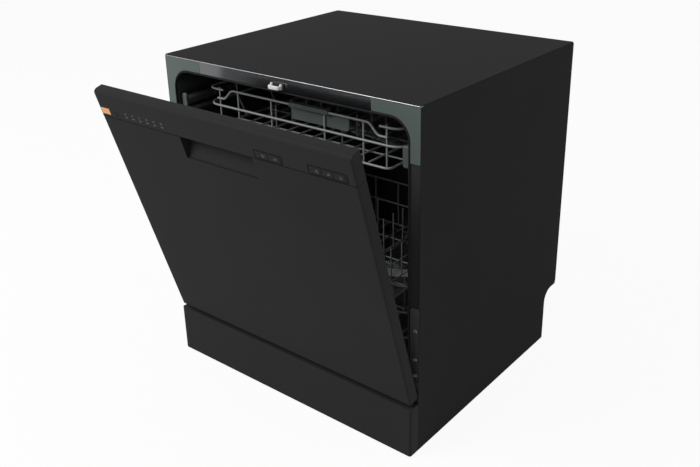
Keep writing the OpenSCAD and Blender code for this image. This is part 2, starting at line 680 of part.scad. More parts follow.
// A closed hoop of wire with round corners
module hoop(w, y0, y1, z, cr, r) {
    for (y = [y0, y1]) disc_x(-w + cr, w - cr, y, z, r);
    mirrored() {
        disc_y(w, y0 + cr, y1 - cr, z, r);
        translate([w - cr, y1 - cr, z]) rotate_extrude(angle = 90) translate([cr, 0]) circle(r);
        translate([w - cr, y0 + cr, z]) rotate(-90) rotate_extrude(angle = 90) translate([cr, 0]) circle(r);
    }
}

// Cross bars and posts stand at these shares of the rack's length or width
upper_x_bars = [for (d = [0.1424, 0.365, 0.632, 0.8546]) upper_y0 + d * upper_len];
upper_posts = [for (d = [0.2077, 0.4451, 0.6825, 0.8605]) upper_y0 + d * upper_len];
upper_pitch = (upper_base_w - 2 * wire_r) / 6;
upper_tines = [for (i = [0 : 6]) upper_y0 + (0.1335 + 0.1187 * i) * upper_len];
tine_h = 41;
upper_r = 25;
base_r = 10;
front_posts = [0.32 * upper_base_w, 0.7527 * upper_base_w, upper_base_w];
handle_drop = 18;        // how far the front wire dips at its ends
tine_r = 1.4;
tine_rod_r = 1.8;
clip_w = 8;

module rod_clip(x, y, z) difference() {
    box([x - 4.5, y - clip_w / 2, z - tine_rod_r - 3.5], [x + 4.5, y + clip_w / 2, z + tine_rod_r + 2]);
    disc_y(x, y - clip_w, y + clip_w, z, tine_rod_r + run);
}

module upper_rack() color([0.6, 0.6, 0.6]) {
    hoop(upper_base_w + 6, upper_y0, upper_y1, upper_floor, base_r, wire_r);
    hoop(upper_half_w, upper_y0, upper_y1, upper_mid, upper_r, wire_r);
    // the upper wire runs round the sides and back
    w = upper_half_w - 1.6;
    disc_x(-w + upper_r, w - upper_r, upper_y1, upper_top, wire_r);
    mirrored() {
        disc_y(w, upper_y0 + upper_r, upper_y1 - upper_r, upper_top, wire_r);
        disc_x(upper_base_w - 12, w - upper_r, upper_y0, upper_top, wire_r);
        translate([w - upper_r, upper_y1 - upper_r, upper_top])
            rotate_extrude(angle = 90) translate([upper_r, 0]) circle(wire_r);
        translate([w - upper_r, upper_y0 + upper_r, upper_top]) rotate(-90)
            rotate_extrude(angle = 90) translate([upper_r, 0]) circle(wire_r);
    }
    z = upper_top + 2;
    dip = [upper_base_w + 3, upper_base_w - 15, upper_base_w - 32];
    route([[-dip[0], upper_y0, z - handle_drop], [-dip[1], upper_y0, z - handle_drop],
        [-dip[2], upper_y0, z], [dip[2], upper_y0, z], [dip[1], upper_y0, z - handle_drop],
        [dip[0], upper_y0, z - handle_drop]], wire_r);
    mirrored() for (x = front_posts)
        upright(x, upper_y0 + inset, upper_floor, x == upper_base_w ? upper_top + 4 : z);
    for (x = [-front_posts[1], 0, front_posts[1]]) upright(x, upper_y1 - inset, upper_floor, upper_top);
    mirrored() for (y = upper_posts) {
        upright(upper_half_w - inset, y, upper_mid - 1, upper_top);
        route([[upper_base_w + 6, y, upper_floor], [upper_half_w - inset, y, upper_mid]], brace_r);
    }
    for (i = [-5 : 5]) disc_y(i * upper_pitch, upper_y0, upper_y1, upper_floor + long_lift, thin_r);
    for (y = upper_x_bars)
        disc_x(-upper_base_w - 6, upper_base_w + 6, y, upper_floor + bar_lift, thin_r);
    for (i = [-3, 2], y = upper_tines)
        upright(i * upper_pitch, y, upper_floor + long_lift, upper_floor + long_lift + tine_h, tine_r);
}

module tine_row(x, y0, y1, z, first, pitch, count, height) {
    disc_y(x, y0, y1, z, tine_rod_r);
    for (i = [0 : count - 1]) upright(x, first + pitch * i, z, z + height, tine_r);
}
handle_x = [-14, 70];
handle_plate_x = 108;
module upper_rack_handle() color([0.37, 0.43, 0.41]) {
    z = upper_top + 2 + wire_r + seat;
    y = upper_y0 + inset + thin_r + 0.4;
    along_y(y, y + 3) polygon(concat([[handle_x[0], z + 2], [handle_x[0], z - 28]],
        arc([handle_plate_x - 6, z - 22], 6, -90, 0, 4), [[handle_plate_x, z - 2],
        [handle_x[1], z - 2], [handle_x[1], z + 2]]));
    box([handle_x[0], upper_y0 - wire_r - seat - 1.5, z], [handle_x[1], y + 1, z + 2]);
    box([handle_x[0], upper_y0 - wire_r - seat - 1.5, z - 2 * wire_r - 1],
        [handle_x[1], upper_y0 - wire_r - seat, z + 1]);
}

shoe_y = [upper_y1 - 87, upper_y1 - 19];
module rack_shoes() color([0.7, 0.7, 0.7]) mirrored() for (y = shoe_y) {
    box([rail_out - rail_w + sheet + 0.8, y - 12, rail_z0 + sheet + 0.5],
        [rail_out - sheet - 0.8, y + 12, rail_z0 + rail_h - sheet - 0.5]);
    box([upper_half_w + wire_r + seat, y - 8, upper_mid - 4.5],
        [rail_out - rail_w + sheet + 2, y + 8, upper_mid + 5.5]);
    box([upper_half_w + wire_r + seat, y - 11, upper_mid - 9],
        [upper_half_w + wire_r + 7, y + 11, upper_mid + 9]);
}

lower_r = 25;
lower_x_bars = [wheel_y[0], lower_y0 + 0.4167 * lower_len, lower_y0 + 0.625 * lower_len, wheel_y[1]];
lower_pitch = (lower_half_w - wire_r) / 5.5;
lower_tines = [for (i = [0 : 8]) lower_y0 + (0.1111 + 0.09444 * i) * lower_len];
lower_tine_h = 69;
lower_tine_x = 0;
lower_rod_z = lower_floor + long_lift + thin_r + tine_rod_r + 2;
lower_clips = [for (d = [0.1389, 0.5, 0.8611]) lower_y0 + d * lower_len];

module lower_rack() color([0.6, 0.6, 0.6]) {
    for (z = [lower_floor, lower_mid, lower_top])
        hoop(lower_half_w, lower_y0, lower_y1, z, lower_r, wire_r);
    for (i = [-3 : 3], y = [lower_y0 + inset, lower_y1 - inset])
        upright(i * 1.5 * lower_pitch, y, lower_floor, lower_top);
    mirrored() for (i = [1 : 5])
        upright(lower_half_w - inset, lower_y0 + i * lower_len / 6, lower_floor, lower_top);
    for (i = [-5 : 5]) disc_y(i * lower_pitch, lower_y0, lower_y1, lower_floor + long_lift, thin_r);
    for (y = lower_x_bars) disc_x(-lower_half_w, lower_half_w, y, lower_floor + bar_lift, thin_r);
    for (i = [-2, 2, 4], y = lower_tines)
        upright(i * lower_pitch, y, lower_floor + long_lift, lower_floor + long_lift + lower_tine_h, tine_r);
    for (y = lower_clips) rod_clip(lower_tine_x, y, lower_rod_z);
    mirrored() for (y = wheel_y) {
        box([wheel_x - 4.5, y - 8, wheel_z - 6], [wheel_x - 1.5, y + 8, lower_floor + 1]);
        disc_x(wheel_x - 4, wheel_x + wheel_w + 1.5, y, wheel_z, axle_r);
    }
}

module folding_tines() color([0.55, 0.55, 0.55])
    tine_row(lower_tine_x, lower_y0 + lower_len / 9, lower_y1 - 38, lower_rod_z, lower_clips[0] + 16,
        lower_len * 4 / 45, 8, lower_tine_h + 3);

module wheels(y) color([0.5, 0.5, 0.5]) mirrored() difference() {
    disc_x(wheel_x, wheel_x + wheel_w, y, wheel_z, wheel_r);
    disc_x(wheel_x - through, wheel_x + wheel_w + through, y, wheel_z, axle_r + run);
}
module front_wheels() wheels(wheel_y[0]);
module rear_wheels() wheels(wheel_y[1]);

basket_lo = [-lower_half_w + 14, lower_y0 + 40, lower_floor + long_lift + thin_r + seat];
basket_size = [62, 200, 108];
basket_wall = 2;
basket_cells = 4;
module cutlery_basket() color([0.4, 0.4, 0.4]) translate(basket_lo) {
    cell = (basket_size[1] - basket_wall) / basket_cells;
    difference() {
        cube(basket_size);
        for (i = [0 : basket_cells - 1]) translate([basket_wall, basket_wall + i * cell, basket_wall])
            cube([basket_size[0] - 2 * basket_wall, cell - basket_wall, basket_size[2]]);
        for (i = [0 : basket_cells - 1], j = [0 : 3])
            translate([-through, i * cell + 8 + 11 * j, 14])
                cube([basket_size[0] + 2 * through, 4, 70]);
        for (j = [0 : 3]) translate([10 + 11 * j, -through, 14])
            cube([4, basket_wall + 2 * through, 70]);
        for (j = [0 : 3]) translate([10 + 11 * j, basket_size[1] - basket_wall - through, 14])
            cube([4, basket_wall + 2 * through, 70]);
    }
}

// ---------------------------------------------------------------- door

module door_outline(wall, y1)
    polygon(round_rect(-door_half_w + wall, front_y + wall, door_half_w - wall, y1, 3 - wall, 0, 4));

// The room that the brackets' lugs and the arms need at the door's foot
module hinge_slots() mirrored() box([arm_x - 0.6, hinge_y - lug_r - 1.5, door_bottom - through],
    [lug_x + lug_t + 1.5, door_back + through, hinge_z + 16]);

pocket_z = seam_z - pocket_h;
heel = 2.5;
module door_panel() color([0.17, 0.17, 0.17]) door_pose() difference() {
    union() {
        translate([0, 0, door_bottom]) linear_extrude(seam_z - door_bottom) difference() {
            door_outline(0, door_back);
            door_outline(sheet, door_back + through);
        }
        translate([0, 0, door_bottom]) linear_extrude(sheet) door_outline(0, door_back);
    }
    box([-pocket_w / 2, front_y - through, pocket_z],
        [pocket_w / 2, front_y + sheet + through, seam_z + through]);
    // the lower back edge is cut away, or it would meet the cabinet's sides as the door turns
    box([-half_w, door_back - heel, door_bottom - through], [half_w, door_back + through, hinge_z - 3.5]);
    hinge_slots();
}

fascia_z = seam_z + 0.4;
fascia_r = 9;
bank_edge = 4;
module button_bank(xs, w) {
    x0 = xs[0] - w / 2 - bank_edge;
    x1 = xs[len(xs) - 1] + w / 2 + bank_edge;
    z0 = button_z - button_h / 2 - 1.6;
    z1 = button_z + button_h / 2 + 3;
    along_y(front_y - through, front_y + 0.5) difference() {
        polygon(round_rect(x0, z0, x1, z1, 1.5, 3, 3));
        polygon(round_rect(x0 + 0.8, z0 + 0.8, x1 - 0.8, z1 - 0.8, 1, 2.2, 3));
    }
}
module control_fascia() color([0.17, 0.17, 0.17]) door_pose() difference() {
    intersection() {
        along_x(-door_half_w, door_half_w) polygon(concat([[front_y, fascia_z], [door_back, fascia_z],
            [door_back, door_top]], arc([front_y + fascia_r, door_top - fascia_r], fascia_r, 90, 180, 8)));
        translate([0, 0, fascia_z - through]) linear_extrude(fascia_h + 2 * through)
            door_outline(0, door_back);
    }
    along_x(-door_half_w + fascia_t, door_half_w - fascia_t) polygon(concat(
        [[front_y + fascia_t, fascia_z - through], [door_back + through, fascia_z - through],
        [door_back + through, door_top - fascia_t]],
        arc([front_y + fascia_r, door_top - fascia_r], fascia_r - fascia_t, 90, 180, 8)));
    for (x = option_x) button_hole(x, option_w);
    for (x = choice_x) button_hole(x, choice_w);
    disc_y(power_x, front_y - through, front_y + fascia_t + through, button_z, power_r + 0.25);
    button_bank(option_x, option_w);
    button_bank(choice_x, choice_w);
    for (i = [0 : light_count - 1]) light(i, seat, through);
}
module button_hole(x, w) box([x - w / 2 - 0.25, front_y - through, button_z - button_h / 2 - 0.25],
    [x + w / 2 + 0.25, front_y + fascia_t + through, button_z + button_h / 2 + 0.25]);
module light(i, more, deep) {
    x = light_x0 + light_pitch * i;
    box([x - 3 - more, front_y - 0.2 - deep, button_z - 1.2 - more],
        [x + 3 + more, front_y + fascia_t + deep, button_z + 1.2 + more]);
}
module indicator_lights() color([0.6, 0.65, 0.6]) door_pose()
    for (i = [0 : light_count - 1]) light(i, 0, 0);

module colour_tab() color([0.95, 0.5, 0.15]) door_pose()
    box([-door_half_w + 4, front_y - 0.3, button_z - 3.5],
        [-door_half_w + 26, front_y, button_z + 8]);

board_y = front_y + 8.5;
board_z = [fascia_z + 3, door_top - 6];
module control_board() color([0.1, 0.3, 0.15]) door_pose()
    for (x = [[-door_half_w + 22, -pocket_w / 2 - 5], [pocket_w / 2 + 5, door_half_w - 12]]) {
        box([x[0], board_y, board_z[0]], [x[1], board_y + 1.6, board_z[1]]);
        for (a = [x[0] + 5, x[1] - 5]) disc_y(a, front_y + fascia_t, board_y + 1, board_z[1] - 6, 3);
        box([x[0] + 30, board_y + 1, board_z[1] - 22], [x[0] + 62, board_y + 8, board_z[1] - 4]);
    }

module push_button(x, w) color([0.2, 0.2, 0.2]) door_pose() {
    h = button_h / 2;
    box([x - w / 2, front_y - button_proud, button_z - h],
        [x + w / 2, front_y + fascia_t + gap + 1, button_z + h]);
    box([x - w / 2 - 0.7, front_y + fascia_t + gap, button_z - h - 1],
        [x + w / 2 + 0.7, front_y + fascia_t + gap + 1.5, button_z + h + 1]);
    disc_y(x, front_y + fascia_t + 1, board_y - button_travel - gap, button_z, 2.5);
}
module power_button() color([0.3, 0.3, 0.3]) door_pose() {
    disc_y(power_x, front_y - button_proud, front_y + fascia_t + gap + 1, button_z, power_r);
    disc_y(power_x, front_y + fascia_t + gap, front_y + fascia_t + gap + 1.5, button_z, power_r + 1.2);
    disc_y(power_x, front_y + fascia_t + 1, board_y - button_travel - gap, button_z, 2.5);
}
module program_button() push_button(option_x[0], option_w);
module extra_button() push_button(option_x[1], option_w);
module delay_button() push_button(choice_x[0], choice_w);
module child_lock_button() push_button(choice_x[1], choice_w);
module start_button() push_button(choice_x[2], choice_w);

pocket_wall = 1.5;
pocket_up = 9;           // how far the pocket reaches up behind the fascia's lower edge
module handle_pocket() color([0.1, 0.1, 0.1]) door_pose() difference() {
    y0 = front_y + sheet;
    y1 = front_y + fascia_t + pocket_wall;
    y2 = front_y + pocket_d;
    w = pocket_wall;
    along_x(-pocket_w / 2 - w, pocket_w / 2 + w) polygon([[y0, pocket_z - w], [y0 + 3, pocket_z - w],
        [y2 + w, seam_z - 5], [y2 + w, seam_z + pocket_up + w], [y1 - w, seam_z + pocket_up + w],
        [y1 - w, seam_z], [y0, seam_z]]);
    along_x(-pocket_w / 2, pocket_w / 2) polygon([[y0 - through, pocket_z], [y0 + 2.5, pocket_z],
        [y2, seam_z - 4], [y2, seam_z + pocket_up], [y1, seam_z + pocket_up], [y1, seam_z - w],
        [y0 - through, seam_z - w]]);
    box([-pocket_w / 2, y0 - through, seam_z - 2 * w], [pocket_w / 2, y1 - seat, seam_z + through]);
}

dispenser_x = [-75, 75];
cap_z = (liner_z0 + liner_z1) / 2 - 4;  // middle of the dispenser
dispenser_z = [cap_z - 55, cap_z + 55];
cup_x = [-60, 5];
cup_z = [cap_z - 39, cap_z + 41];
lid_y = liner_y + 1.5 + gap;
lid_axis = [lid_y + 2.5, cup_z[0] - 3];
cap_x = 40;
cap_r = 17;
rinse_plug_r = 12;
module door_liner() color([0.55, 0.55, 0.56]) door_pose() difference() {
    union() {
        box([-door_half_w + fascia_t + seat, door_back - sheet, door_bottom + sheet],
            [door_half_w - fascia_t - seat, door_back, door_top - fascia_t - seat]);
        along_y(door_back - sheet, liner_y)
            polygon(round_rect(-liner_x, liner_z0, liner_x, liner_z1, liner_r, liner_r, 6));
    }
    along_y(door_back - sheet - through, liner_y - sheet)
        polygon(round_rect(-liner_x + sheet, liner_z0 + sheet, liner_x - sheet, liner_z1 - sheet,
            liner_r - sheet, liner_r - sheet, 6));
    box([dispenser_x[0] + 6, pan_back - through, dispenser_z[0] + 6],
        [dispenser_x[1] - 6, liner_y + through, dispenser_z[1] - 6]);
    box([striker_x - striker_w / 2 - 4.5, door_back - sheet - through, striker_z - 4],
        [striker_x + striker_w / 2 + 4.5, door_back + through, striker_z + 11]);
    hinge_slots();
}

module latch_housing() color([0.25, 0.25, 0.26]) door_pose() difference() {
    box([striker_x - 19, flange_y - striker_out - 3.5, striker_z - 7],
        [striker_x + 19, door_back - sheet - seat, striker_z + 10.7]);
    box([striker_x - striker_w / 2 - 2, flange_y - striker_out - 2, striker_z - 3],
        [striker_x + striker_w / 2 + 2, door_back + through, striker_z + 9.5]);
}

module dispenser_body() color([0.6, 0.6, 0.6]) door_pose() difference() {
    union() {
        along_y(liner_y, liner_y + 1.5)
            polygon(round_rect(dispenser_x[0], dispenser_z[0], dispenser_x[1], dispenser_z[1], 6, 6, 4));
        box([dispenser_x[0] + 6 + seat, liner_y - 24, dispenser_z[0] + 6 + seat],
            [dispenser_x[1] - 6 - seat, liner_y + 1, dispenser_z[1] - 6 - seat]);
        for (x = [cup_x[0] - 6, cup_x[1] + 2.5])
            box([x, liner_y + 1, lid_axis[1] - 3], [x + 3.5, lid_axis[0] + 3, lid_axis[1] + 3]);
    }
    box([cup_x[0], liner_y - 20, cup_z[0]], [cup_x[1], liner_y + 3, cup_z[1]]);
    disc_y(cap_x, liner_y - 12, liner_y + 3, cap_z, rinse_plug_r + run);
    disc_x(cup_x[0] - 7, cup_x[1] + 7, lid_axis[0], lid_axis[1], 1.5 + run);
}

module dispenser_lid() color([0.65, 0.65, 0.65]) door_pose() {
    box([cup_x[0] - 2, lid_y, lid_axis[1]], [cup_x[1] + 2, lid_y + 2, cup_z[1] + 4]);
    disc_x(cup_x[0] - 2, cup_x[1] + 2, lid_axis[0], lid_axis[1], 2.3);
    disc_x(cup_x[0] - 5.5, cup_x[1] + 5.5, lid_axis[0], lid_axis[1], 1.5);
}

module rinse_aid_cap() color([0.3, 0.5, 0.75]) door_pose() {
    disc_y(cap_x, lid_y, lid_y + 5, cap_z, cap_r);
    disc_y(cap_x, liner_y - 8, lid_y + 1, cap_z, rinse_plug_r);
    box([cap_x - 13, lid_y + 4, cap_z - 2], [cap_x + 13, lid_y + 9, cap_z + 2]);
}

top_panel();
left_side_panel();
right_side_panel();
back_panel();
base_tray();
plinth();
front_frame();
top_trim_strip();
corner_trims();
latch_striker();
tub();
door_seal();
rack_rails();
rail_end_caps();
hinge_brackets();
hinge_screws();
door_springs();
sump();
wash_pump();
drain_pump();
wash_pipe();
water_softener();
inlet_valve();
drain_connector();
cable_gland();
filter_basket();
salt_cap();
lower_spray_arm();
front_left_foot();
front_right_foot();
rear_left_foot();
rear_right_foot();
door_panel();
control_fascia();
handle_pocket();
door_liner();
hinge_arms();
latch_housing();
control_board();
indicator_lights();
colour_tab();
dispenser_body();
dispenser_lid();
rinse_aid_cap();
power_button();
program_button();
extra_button();
delay_button();
child_lock_button();
start_button();
upper_rack();
upper_rack_handle();
rack_shoes();
upper_feed_pipe();
upper_spray_arm();
lower_rack();
folding_tines();
cutlery_basket();
front_wheels();
rear_wheels();
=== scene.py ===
"""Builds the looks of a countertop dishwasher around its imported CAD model."""
import json
import math

import bmesh
import bpy
import numpy as np
from mathutils import Matrix, Vector

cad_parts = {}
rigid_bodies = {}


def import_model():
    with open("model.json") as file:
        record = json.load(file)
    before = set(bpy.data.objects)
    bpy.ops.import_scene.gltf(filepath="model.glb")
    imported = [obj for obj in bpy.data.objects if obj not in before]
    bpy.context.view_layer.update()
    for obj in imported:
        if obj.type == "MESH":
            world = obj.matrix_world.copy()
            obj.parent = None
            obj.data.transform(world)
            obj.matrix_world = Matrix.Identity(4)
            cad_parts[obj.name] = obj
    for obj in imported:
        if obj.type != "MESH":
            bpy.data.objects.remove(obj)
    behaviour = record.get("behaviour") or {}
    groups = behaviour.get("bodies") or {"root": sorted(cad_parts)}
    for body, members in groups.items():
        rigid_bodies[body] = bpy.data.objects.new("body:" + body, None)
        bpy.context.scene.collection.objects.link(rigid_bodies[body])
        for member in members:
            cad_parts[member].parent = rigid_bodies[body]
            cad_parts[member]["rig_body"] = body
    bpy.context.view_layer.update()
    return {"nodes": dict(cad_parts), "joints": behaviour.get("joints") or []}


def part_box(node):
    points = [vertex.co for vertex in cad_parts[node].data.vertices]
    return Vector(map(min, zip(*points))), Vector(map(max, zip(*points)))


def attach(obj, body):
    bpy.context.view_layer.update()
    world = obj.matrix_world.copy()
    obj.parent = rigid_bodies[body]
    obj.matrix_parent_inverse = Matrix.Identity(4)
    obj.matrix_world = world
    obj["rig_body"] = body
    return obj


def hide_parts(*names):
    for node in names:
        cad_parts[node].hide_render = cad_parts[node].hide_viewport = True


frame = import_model()
nodes = frame["nodes"]
joints = {j["name"]: j for j in frame["joints"]}
scene = bpy.context.scene
mm = 0.001


# ---------------------------------------------------------------- camera
# A long lens seen from the front right, a little above the top panel. The optical axis passes
# above the middle of the frame, so the picture is shifted, which keeps the uprights' slight lean.

azimuth, elevation, roll = math.radians(39.548), math.radians(22.517), math.radians(-1.346)
frame_width = 700
focal_px = 859.8
axis_above_middle_px = 43.5
camera_place = Vector((0.92809, -1.17968, 0.94751))

backwards = Vector((math.sin(azimuth) * math.cos(elevation),
                    -math.cos(azimuth) * math.cos(elevation), math.sin(elevation)))
lens = bpy.data.cameras.new("camera")
lens.sensor_width = 36
lens.lens = lens.sensor_width * focal_px / frame_width
lens.shift_y = -axis_above_middle_px / frame_width
camera = bpy.data.objects.new("camera", lens)
scene.collection.objects.link(camera)
turn = (-backwards).to_track_quat("-Z", "Y").to_matrix() @ Matrix.Rotation(roll, 3, "Z")
camera.matrix_world = Matrix.Translation(camera_place) @ turn.to_4x4()
scene.camera = camera
scene.view_settings.view_transform = "Standard"


# ---------------------------------------------------------------- floor and light
# A pale studio floor that runs to the horizon, a large soft box over the front left corner, a
# weaker one low on the right, and an even pale surround.


class Value:
    """One number or colour on its way through a finish. A sum, a product or a number less a
    Value adds a Math node."""

    def __init__(self, finish, socket):
        self.finish, self.socket = finish, socket

    def __add__(self, other):
        return self.finish.maths("ADD", self, other)

    def __rsub__(self, other):
        return self.finish.maths("SUBTRACT", other, self)

    def __mul__(self, other):
        return self.finish.maths("MULTIPLY", self, other)

    __radd__, __rmul__ = __add__, __mul__

    def within(self, low, high):
        """0 below low, 1 above high and straight between them."""
        return self.finish.node("MapRange", i0=self, i1=low, i2=high)


class Finish:
    """A node tree being wired up. Every node in it is made by node()."""

    def __init__(self, owner):
        owner.use_nodes = True
        self.tree = owner.node_tree

    def put(self, socket, value):
        if isinstance(value, Value):
            self.tree.links.new(value.socket, socket)
        else:
            socket.default_value = value

    def node(self, kind, settings=None, output=0, **inputs):
        """A node of this kind. Its settings come first, then its sockets, as names or as i0, i1, ..."""
        made = self.tree.nodes.new("ShaderNode" + kind)
        for name, value in (settings or {}).items():
            setattr(made, name, value)
        for name, value in inputs.items():
            key = int(name[1:]) if name[1:].isdigit() else name.replace("_", " ")
            self.put(made.inputs[key], value)
        return Value(self, made.outputs[output])

    def maths(self, operation, a, b):
        return self.node("Math", {"operation": operation}, i0=a, i1=b)

    def end(self, shader):
        """Sends a shader to the tree's output."""
        out = next(n for n in self.tree.nodes if n.type in ("OUTPUT_MATERIAL", "OUTPUT_WORLD"))
        self.tree.links.new(shader.socket, out.inputs["Surface"])


camera_ray, glossy_ray, transmission_ray = 0, 3, 6      # outputs of a Light Path node
own_coordinates = 3                                     # output of a Texture Coordinate node
floor_half = 30
floor_grey = 0.80
floor_lift = 0.93            # share of the floor's own white that the camera sees
corners = np.array([[-1, -1, 0], [1, -1, 0], [1, 1, 0], [-1, 1, 0]]) * floor_half
floor_mesh = bpy.data.meshes.new("floor")
floor_mesh.from_pydata(corners.tolist(), [], [(0, 1, 2, 3)])
floor = bpy.data.objects.new("floor", floor_mesh)
scene.collection.objects.link(floor)
floor_paint = bpy.data.materials.new("floor_paint")
finish = Finish(floor_paint)
seen = finish.node("LightPath", output=camera_ray)
mirrored_back = finish.node("LightPath", output=glossy_ray)
cloth = finish.node("BsdfDiffuse", Color=(floor_grey, floor_grey, floor_grey, 1))
white = finish.node("Emission", Color=(1, 1, 1, 1), Strength=1.0)
finish.end(finish.node("MixShader", i0=(seen + mirrored_back) * floor_lift, i1=cloth, i2=white))
floor_mesh.materials.append(floor_paint)

surround = bpy.data.worlds.new("surround")
scene.world = surround
finish = Finish(surround)
shown = finish.node("LightPath", output=camera_ray) + finish.node("LightPath", output=glossy_ray) \
    + finish.node("LightPath", output=transmission_ray)
level = 0.45
finish.end(finish.node("Background", Color=(1, 1, 1, 1), Strength=shown * (1 - level) + level))


def soft_box(name, place, aim, width, height, watts):
    """A rectangular lamp at place, turned to shine at aim."""
    lamp = bpy.data.lights.new(name, "AREA")
    lamp.shape, lamp.size, lamp.size_y, lamp.energy = "RECTANGLE", width, height, watts
    box = bpy.data.objects.new(name, lamp)
    scene.collection.objects.link(box)
    way = (Vector(aim) - Vector(place)).to_track_quat("-Z", "Y").to_matrix().to_4x4()
    box.matrix_world = Matrix.Translation(Vector(place)) @ way
    return box


soft_box("key", (-1.6, -2.5, 2.7), (0, -0.1, 0.3), 1.6, 1.6, 103)
soft_box("side", (2.4, 0.4, 1.2), (0.2, 0, 0.3), 1.2, 1.2, 8)


# ---------------------------------------------------------------- cabinet shell
# Folded steel sheet with a satin black powder coat: the top and the two sides, screwed to the
# base and to each other. A thin bright metal bead along the top's front edge is a painted highlight for
# the light that edge catches.


def painted(name, colour, roughness, gloss=0.5, grain=0.0, grain_size=0.001, cloud=0.0):
    """A coat of paint or a moulded skin: one colour clouded by a slow noise, with a fine grain of
    that size in the surface and in its roughness."""
    material = bpy.data.materials.new(name)
    finish = Finish(material)
    shader = finish.tree.nodes["Principled BSDF"]
    shader.inputs["Specular IOR Level"].default_value = gloss
    where = finish.node("TexCoord", output=own_coordinates)
    slow = finish.node("TexNoise", Vector=where, Scale=9.0, Detail=3.0)
    fine = finish.node("TexNoise", Vector=where, Scale=1 / grain_size, Detail=2.0)
    low = tuple(c * (1 - cloud) for c in colour)
    high = tuple(c * (1 + cloud) for c in colour)
    tone = finish.node("Mix", {"data_type": "RGBA"}, output=2, i0=slow, i6=(*low, 1), i7=(*high, 1))
    finish.put(shader.inputs["Base Color"], tone)
    finish.put(shader.inputs["Roughness"], roughness - 0.05 + 0.06 * slow + 0.04 * fine)
    if grain:
        bumps = finish.node("Bump", Strength=1.0, Distance=grain, Height=fine)
        finish.put(shader.inputs["Normal"], bumps)
    return material


def brushed(name, colour, roughness, along=(1, 40, 40), scratch=0.00001):
    """Brushed metal: noise stretched along one axis streaks its roughness, tone and surface."""
    material = bpy.data.materials.new(name)
    finish = Finish(material)
    shader = finish.tree.nodes["Principled BSDF"]
    shader.inputs["Metallic"].default_value = 1.0
    where = finish.node("TexCoord", output=own_coordinates)
    stretched = finish.node("Mapping", Vector=where, Scale=along)
    streaks = finish.node("TexNoise", Vector=stretched, Scale=30.0, Detail=4.0)
    slow = finish.node("TexNoise", Vector=where, Scale=6.0, Detail=2.0)
    low, high = tuple(c * 0.88 for c in colour), tuple(c * 1.1 for c in colour)
    tone = finish.node("Mix", {"data_type": "RGBA"}, output=2, i0=streaks * 0.7 + slow * 0.3,
                       i6=(*low, 1), i7=(*high, 1))
    finish.put(shader.inputs["Base Color"], tone)
    finish.put(shader.inputs["Roughness"], streaks * 0.12 + (roughness - 0.06))
    bumps = finish.node("Bump", Strength=1.0, Distance=scratch, Height=streaks)
    finish.put(shader.inputs["Normal"], bumps)
    return material


def piece_of(name, mesh):
    made = bpy.data.objects.new(name, mesh)
    scene.collection.objects.link(made)
    return made


def fitted(made, body, slot, material, *replaced):
    """Gives a piece its finish, lets it ride on its body, and hides the plain nodes it stands for."""
    made.data.materials.clear()
    made.data.materials.append(material)
    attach(made, body)
    if replaced:
        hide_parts(*replaced)
    return made


def body_of(node):
    return nodes[node]["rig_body"]


def smooth(mesh, degrees=34):
    """Smooth shading that stays crisp on edges turning by more than this."""
    mesh.shade_smooth()
    mesh.set_sharp_from_angle(angle=math.radians(degrees))


def softened(made, width, steps=2):
    """Rounds a piece's sharp edges to that radius, and shades its flat faces flat."""
    if width:
        bevel = made.modifiers.new("edges", "BEVEL")
        bevel.width, bevel.segments, bevel.limit_method = width, steps, "ANGLE"
        bevel.angle_limit = math.radians(34)
        bevel.harden_normals = True
    flats = made.modifiers.new("flats", "WEIGHTED_NORMAL")
    flats.keep_sharp = True
    return made


def eased(node, edge, slot, material, steps=2, pressed=()):
    """The frame's own shape with its loose triangles joined into faces, and its edges rounded by
    edge metres, as a press, a mould or a coat of paint leaves them. pressed lists the places with
    a larger bend: a test that an edge's two ends pass, and the bend's radius."""
    shape = bmesh.new()
    shape.from_mesh(nodes[node].data)
    bmesh.ops.remove_doubles(shape, verts=shape.verts, dist=2e-6)
    bmesh.ops.dissolve_limit(shape, angle_limit=math.radians(0.5), verts=shape.verts,
                             edges=shape.edges)
    for test, radius in pressed:
        bends = [e for e in shape.edges if len(e.link_faces) == 2 and test(e.verts[0].co)
                 and test(e.verts[1].co) and e.calc_face_angle(0) > 0.7]
        bmesh.ops.bevel(shape, geom=bends, offset=radius, segments=5, profile=0.5, affect="EDGES",
                        clamp_overlap=True)
    mesh = bpy.data.meshes.new(node + "_eased")
    shape.to_mesh(mesh)
    shape.free()
    smooth(mesh)
    made = softened(piece_of(node + "_eased", mesh), edge, steps)
    return fitted(made, body_of(node), slot, material, node)


class Shape:
    """The points and faces of one piece while it is put together."""

    def __init__(self):
        self.points, self.faces, self.count = [], [], 0

    def add(self, points, faces):
        """Takes points and the faces that join them, numbered from 0."""
        self.faces += [[i + self.count for i in face] for face in faces]
        self.points.append(np.asarray(points, float).reshape(-1, 3))
        self.count += len(self.points[-1])

    def skin(self, rings, around=True, closed=False):
        """Joins rings of points, an array m x k x 3, with quads: point j of ring i to point j + 1
        and to ring i + 1. around joins each ring's end to its start, and closed the last ring to
        the first; otherwise one face covers each open end."""
        m, k = rings.shape[:2]
        i = np.arange(m if closed else m - 1)[:, None]
        j = np.arange(k if around else k - 1)[None]
        after, beside = (i + 1) % m, (j + 1) % k
        quads = np.stack([i * k + j, i * k + beside, after * k + beside, after * k + j], -1)
        faces = quads.reshape(-1, 4).tolist()
        if around and not closed:
            faces += [list(range(k))[::-1], list(range((m - 1) * k, m * k))]
        self.add(rings, faces)

    def made(self, name, degrees=34):
        mesh = bpy.data.meshes.new(name)
        mesh.from_pydata(np.concatenate(self.points).tolist(), [], self.faces)
        mesh.validate()
        smooth(mesh, degrees)
        return piece_of(name, mesh)


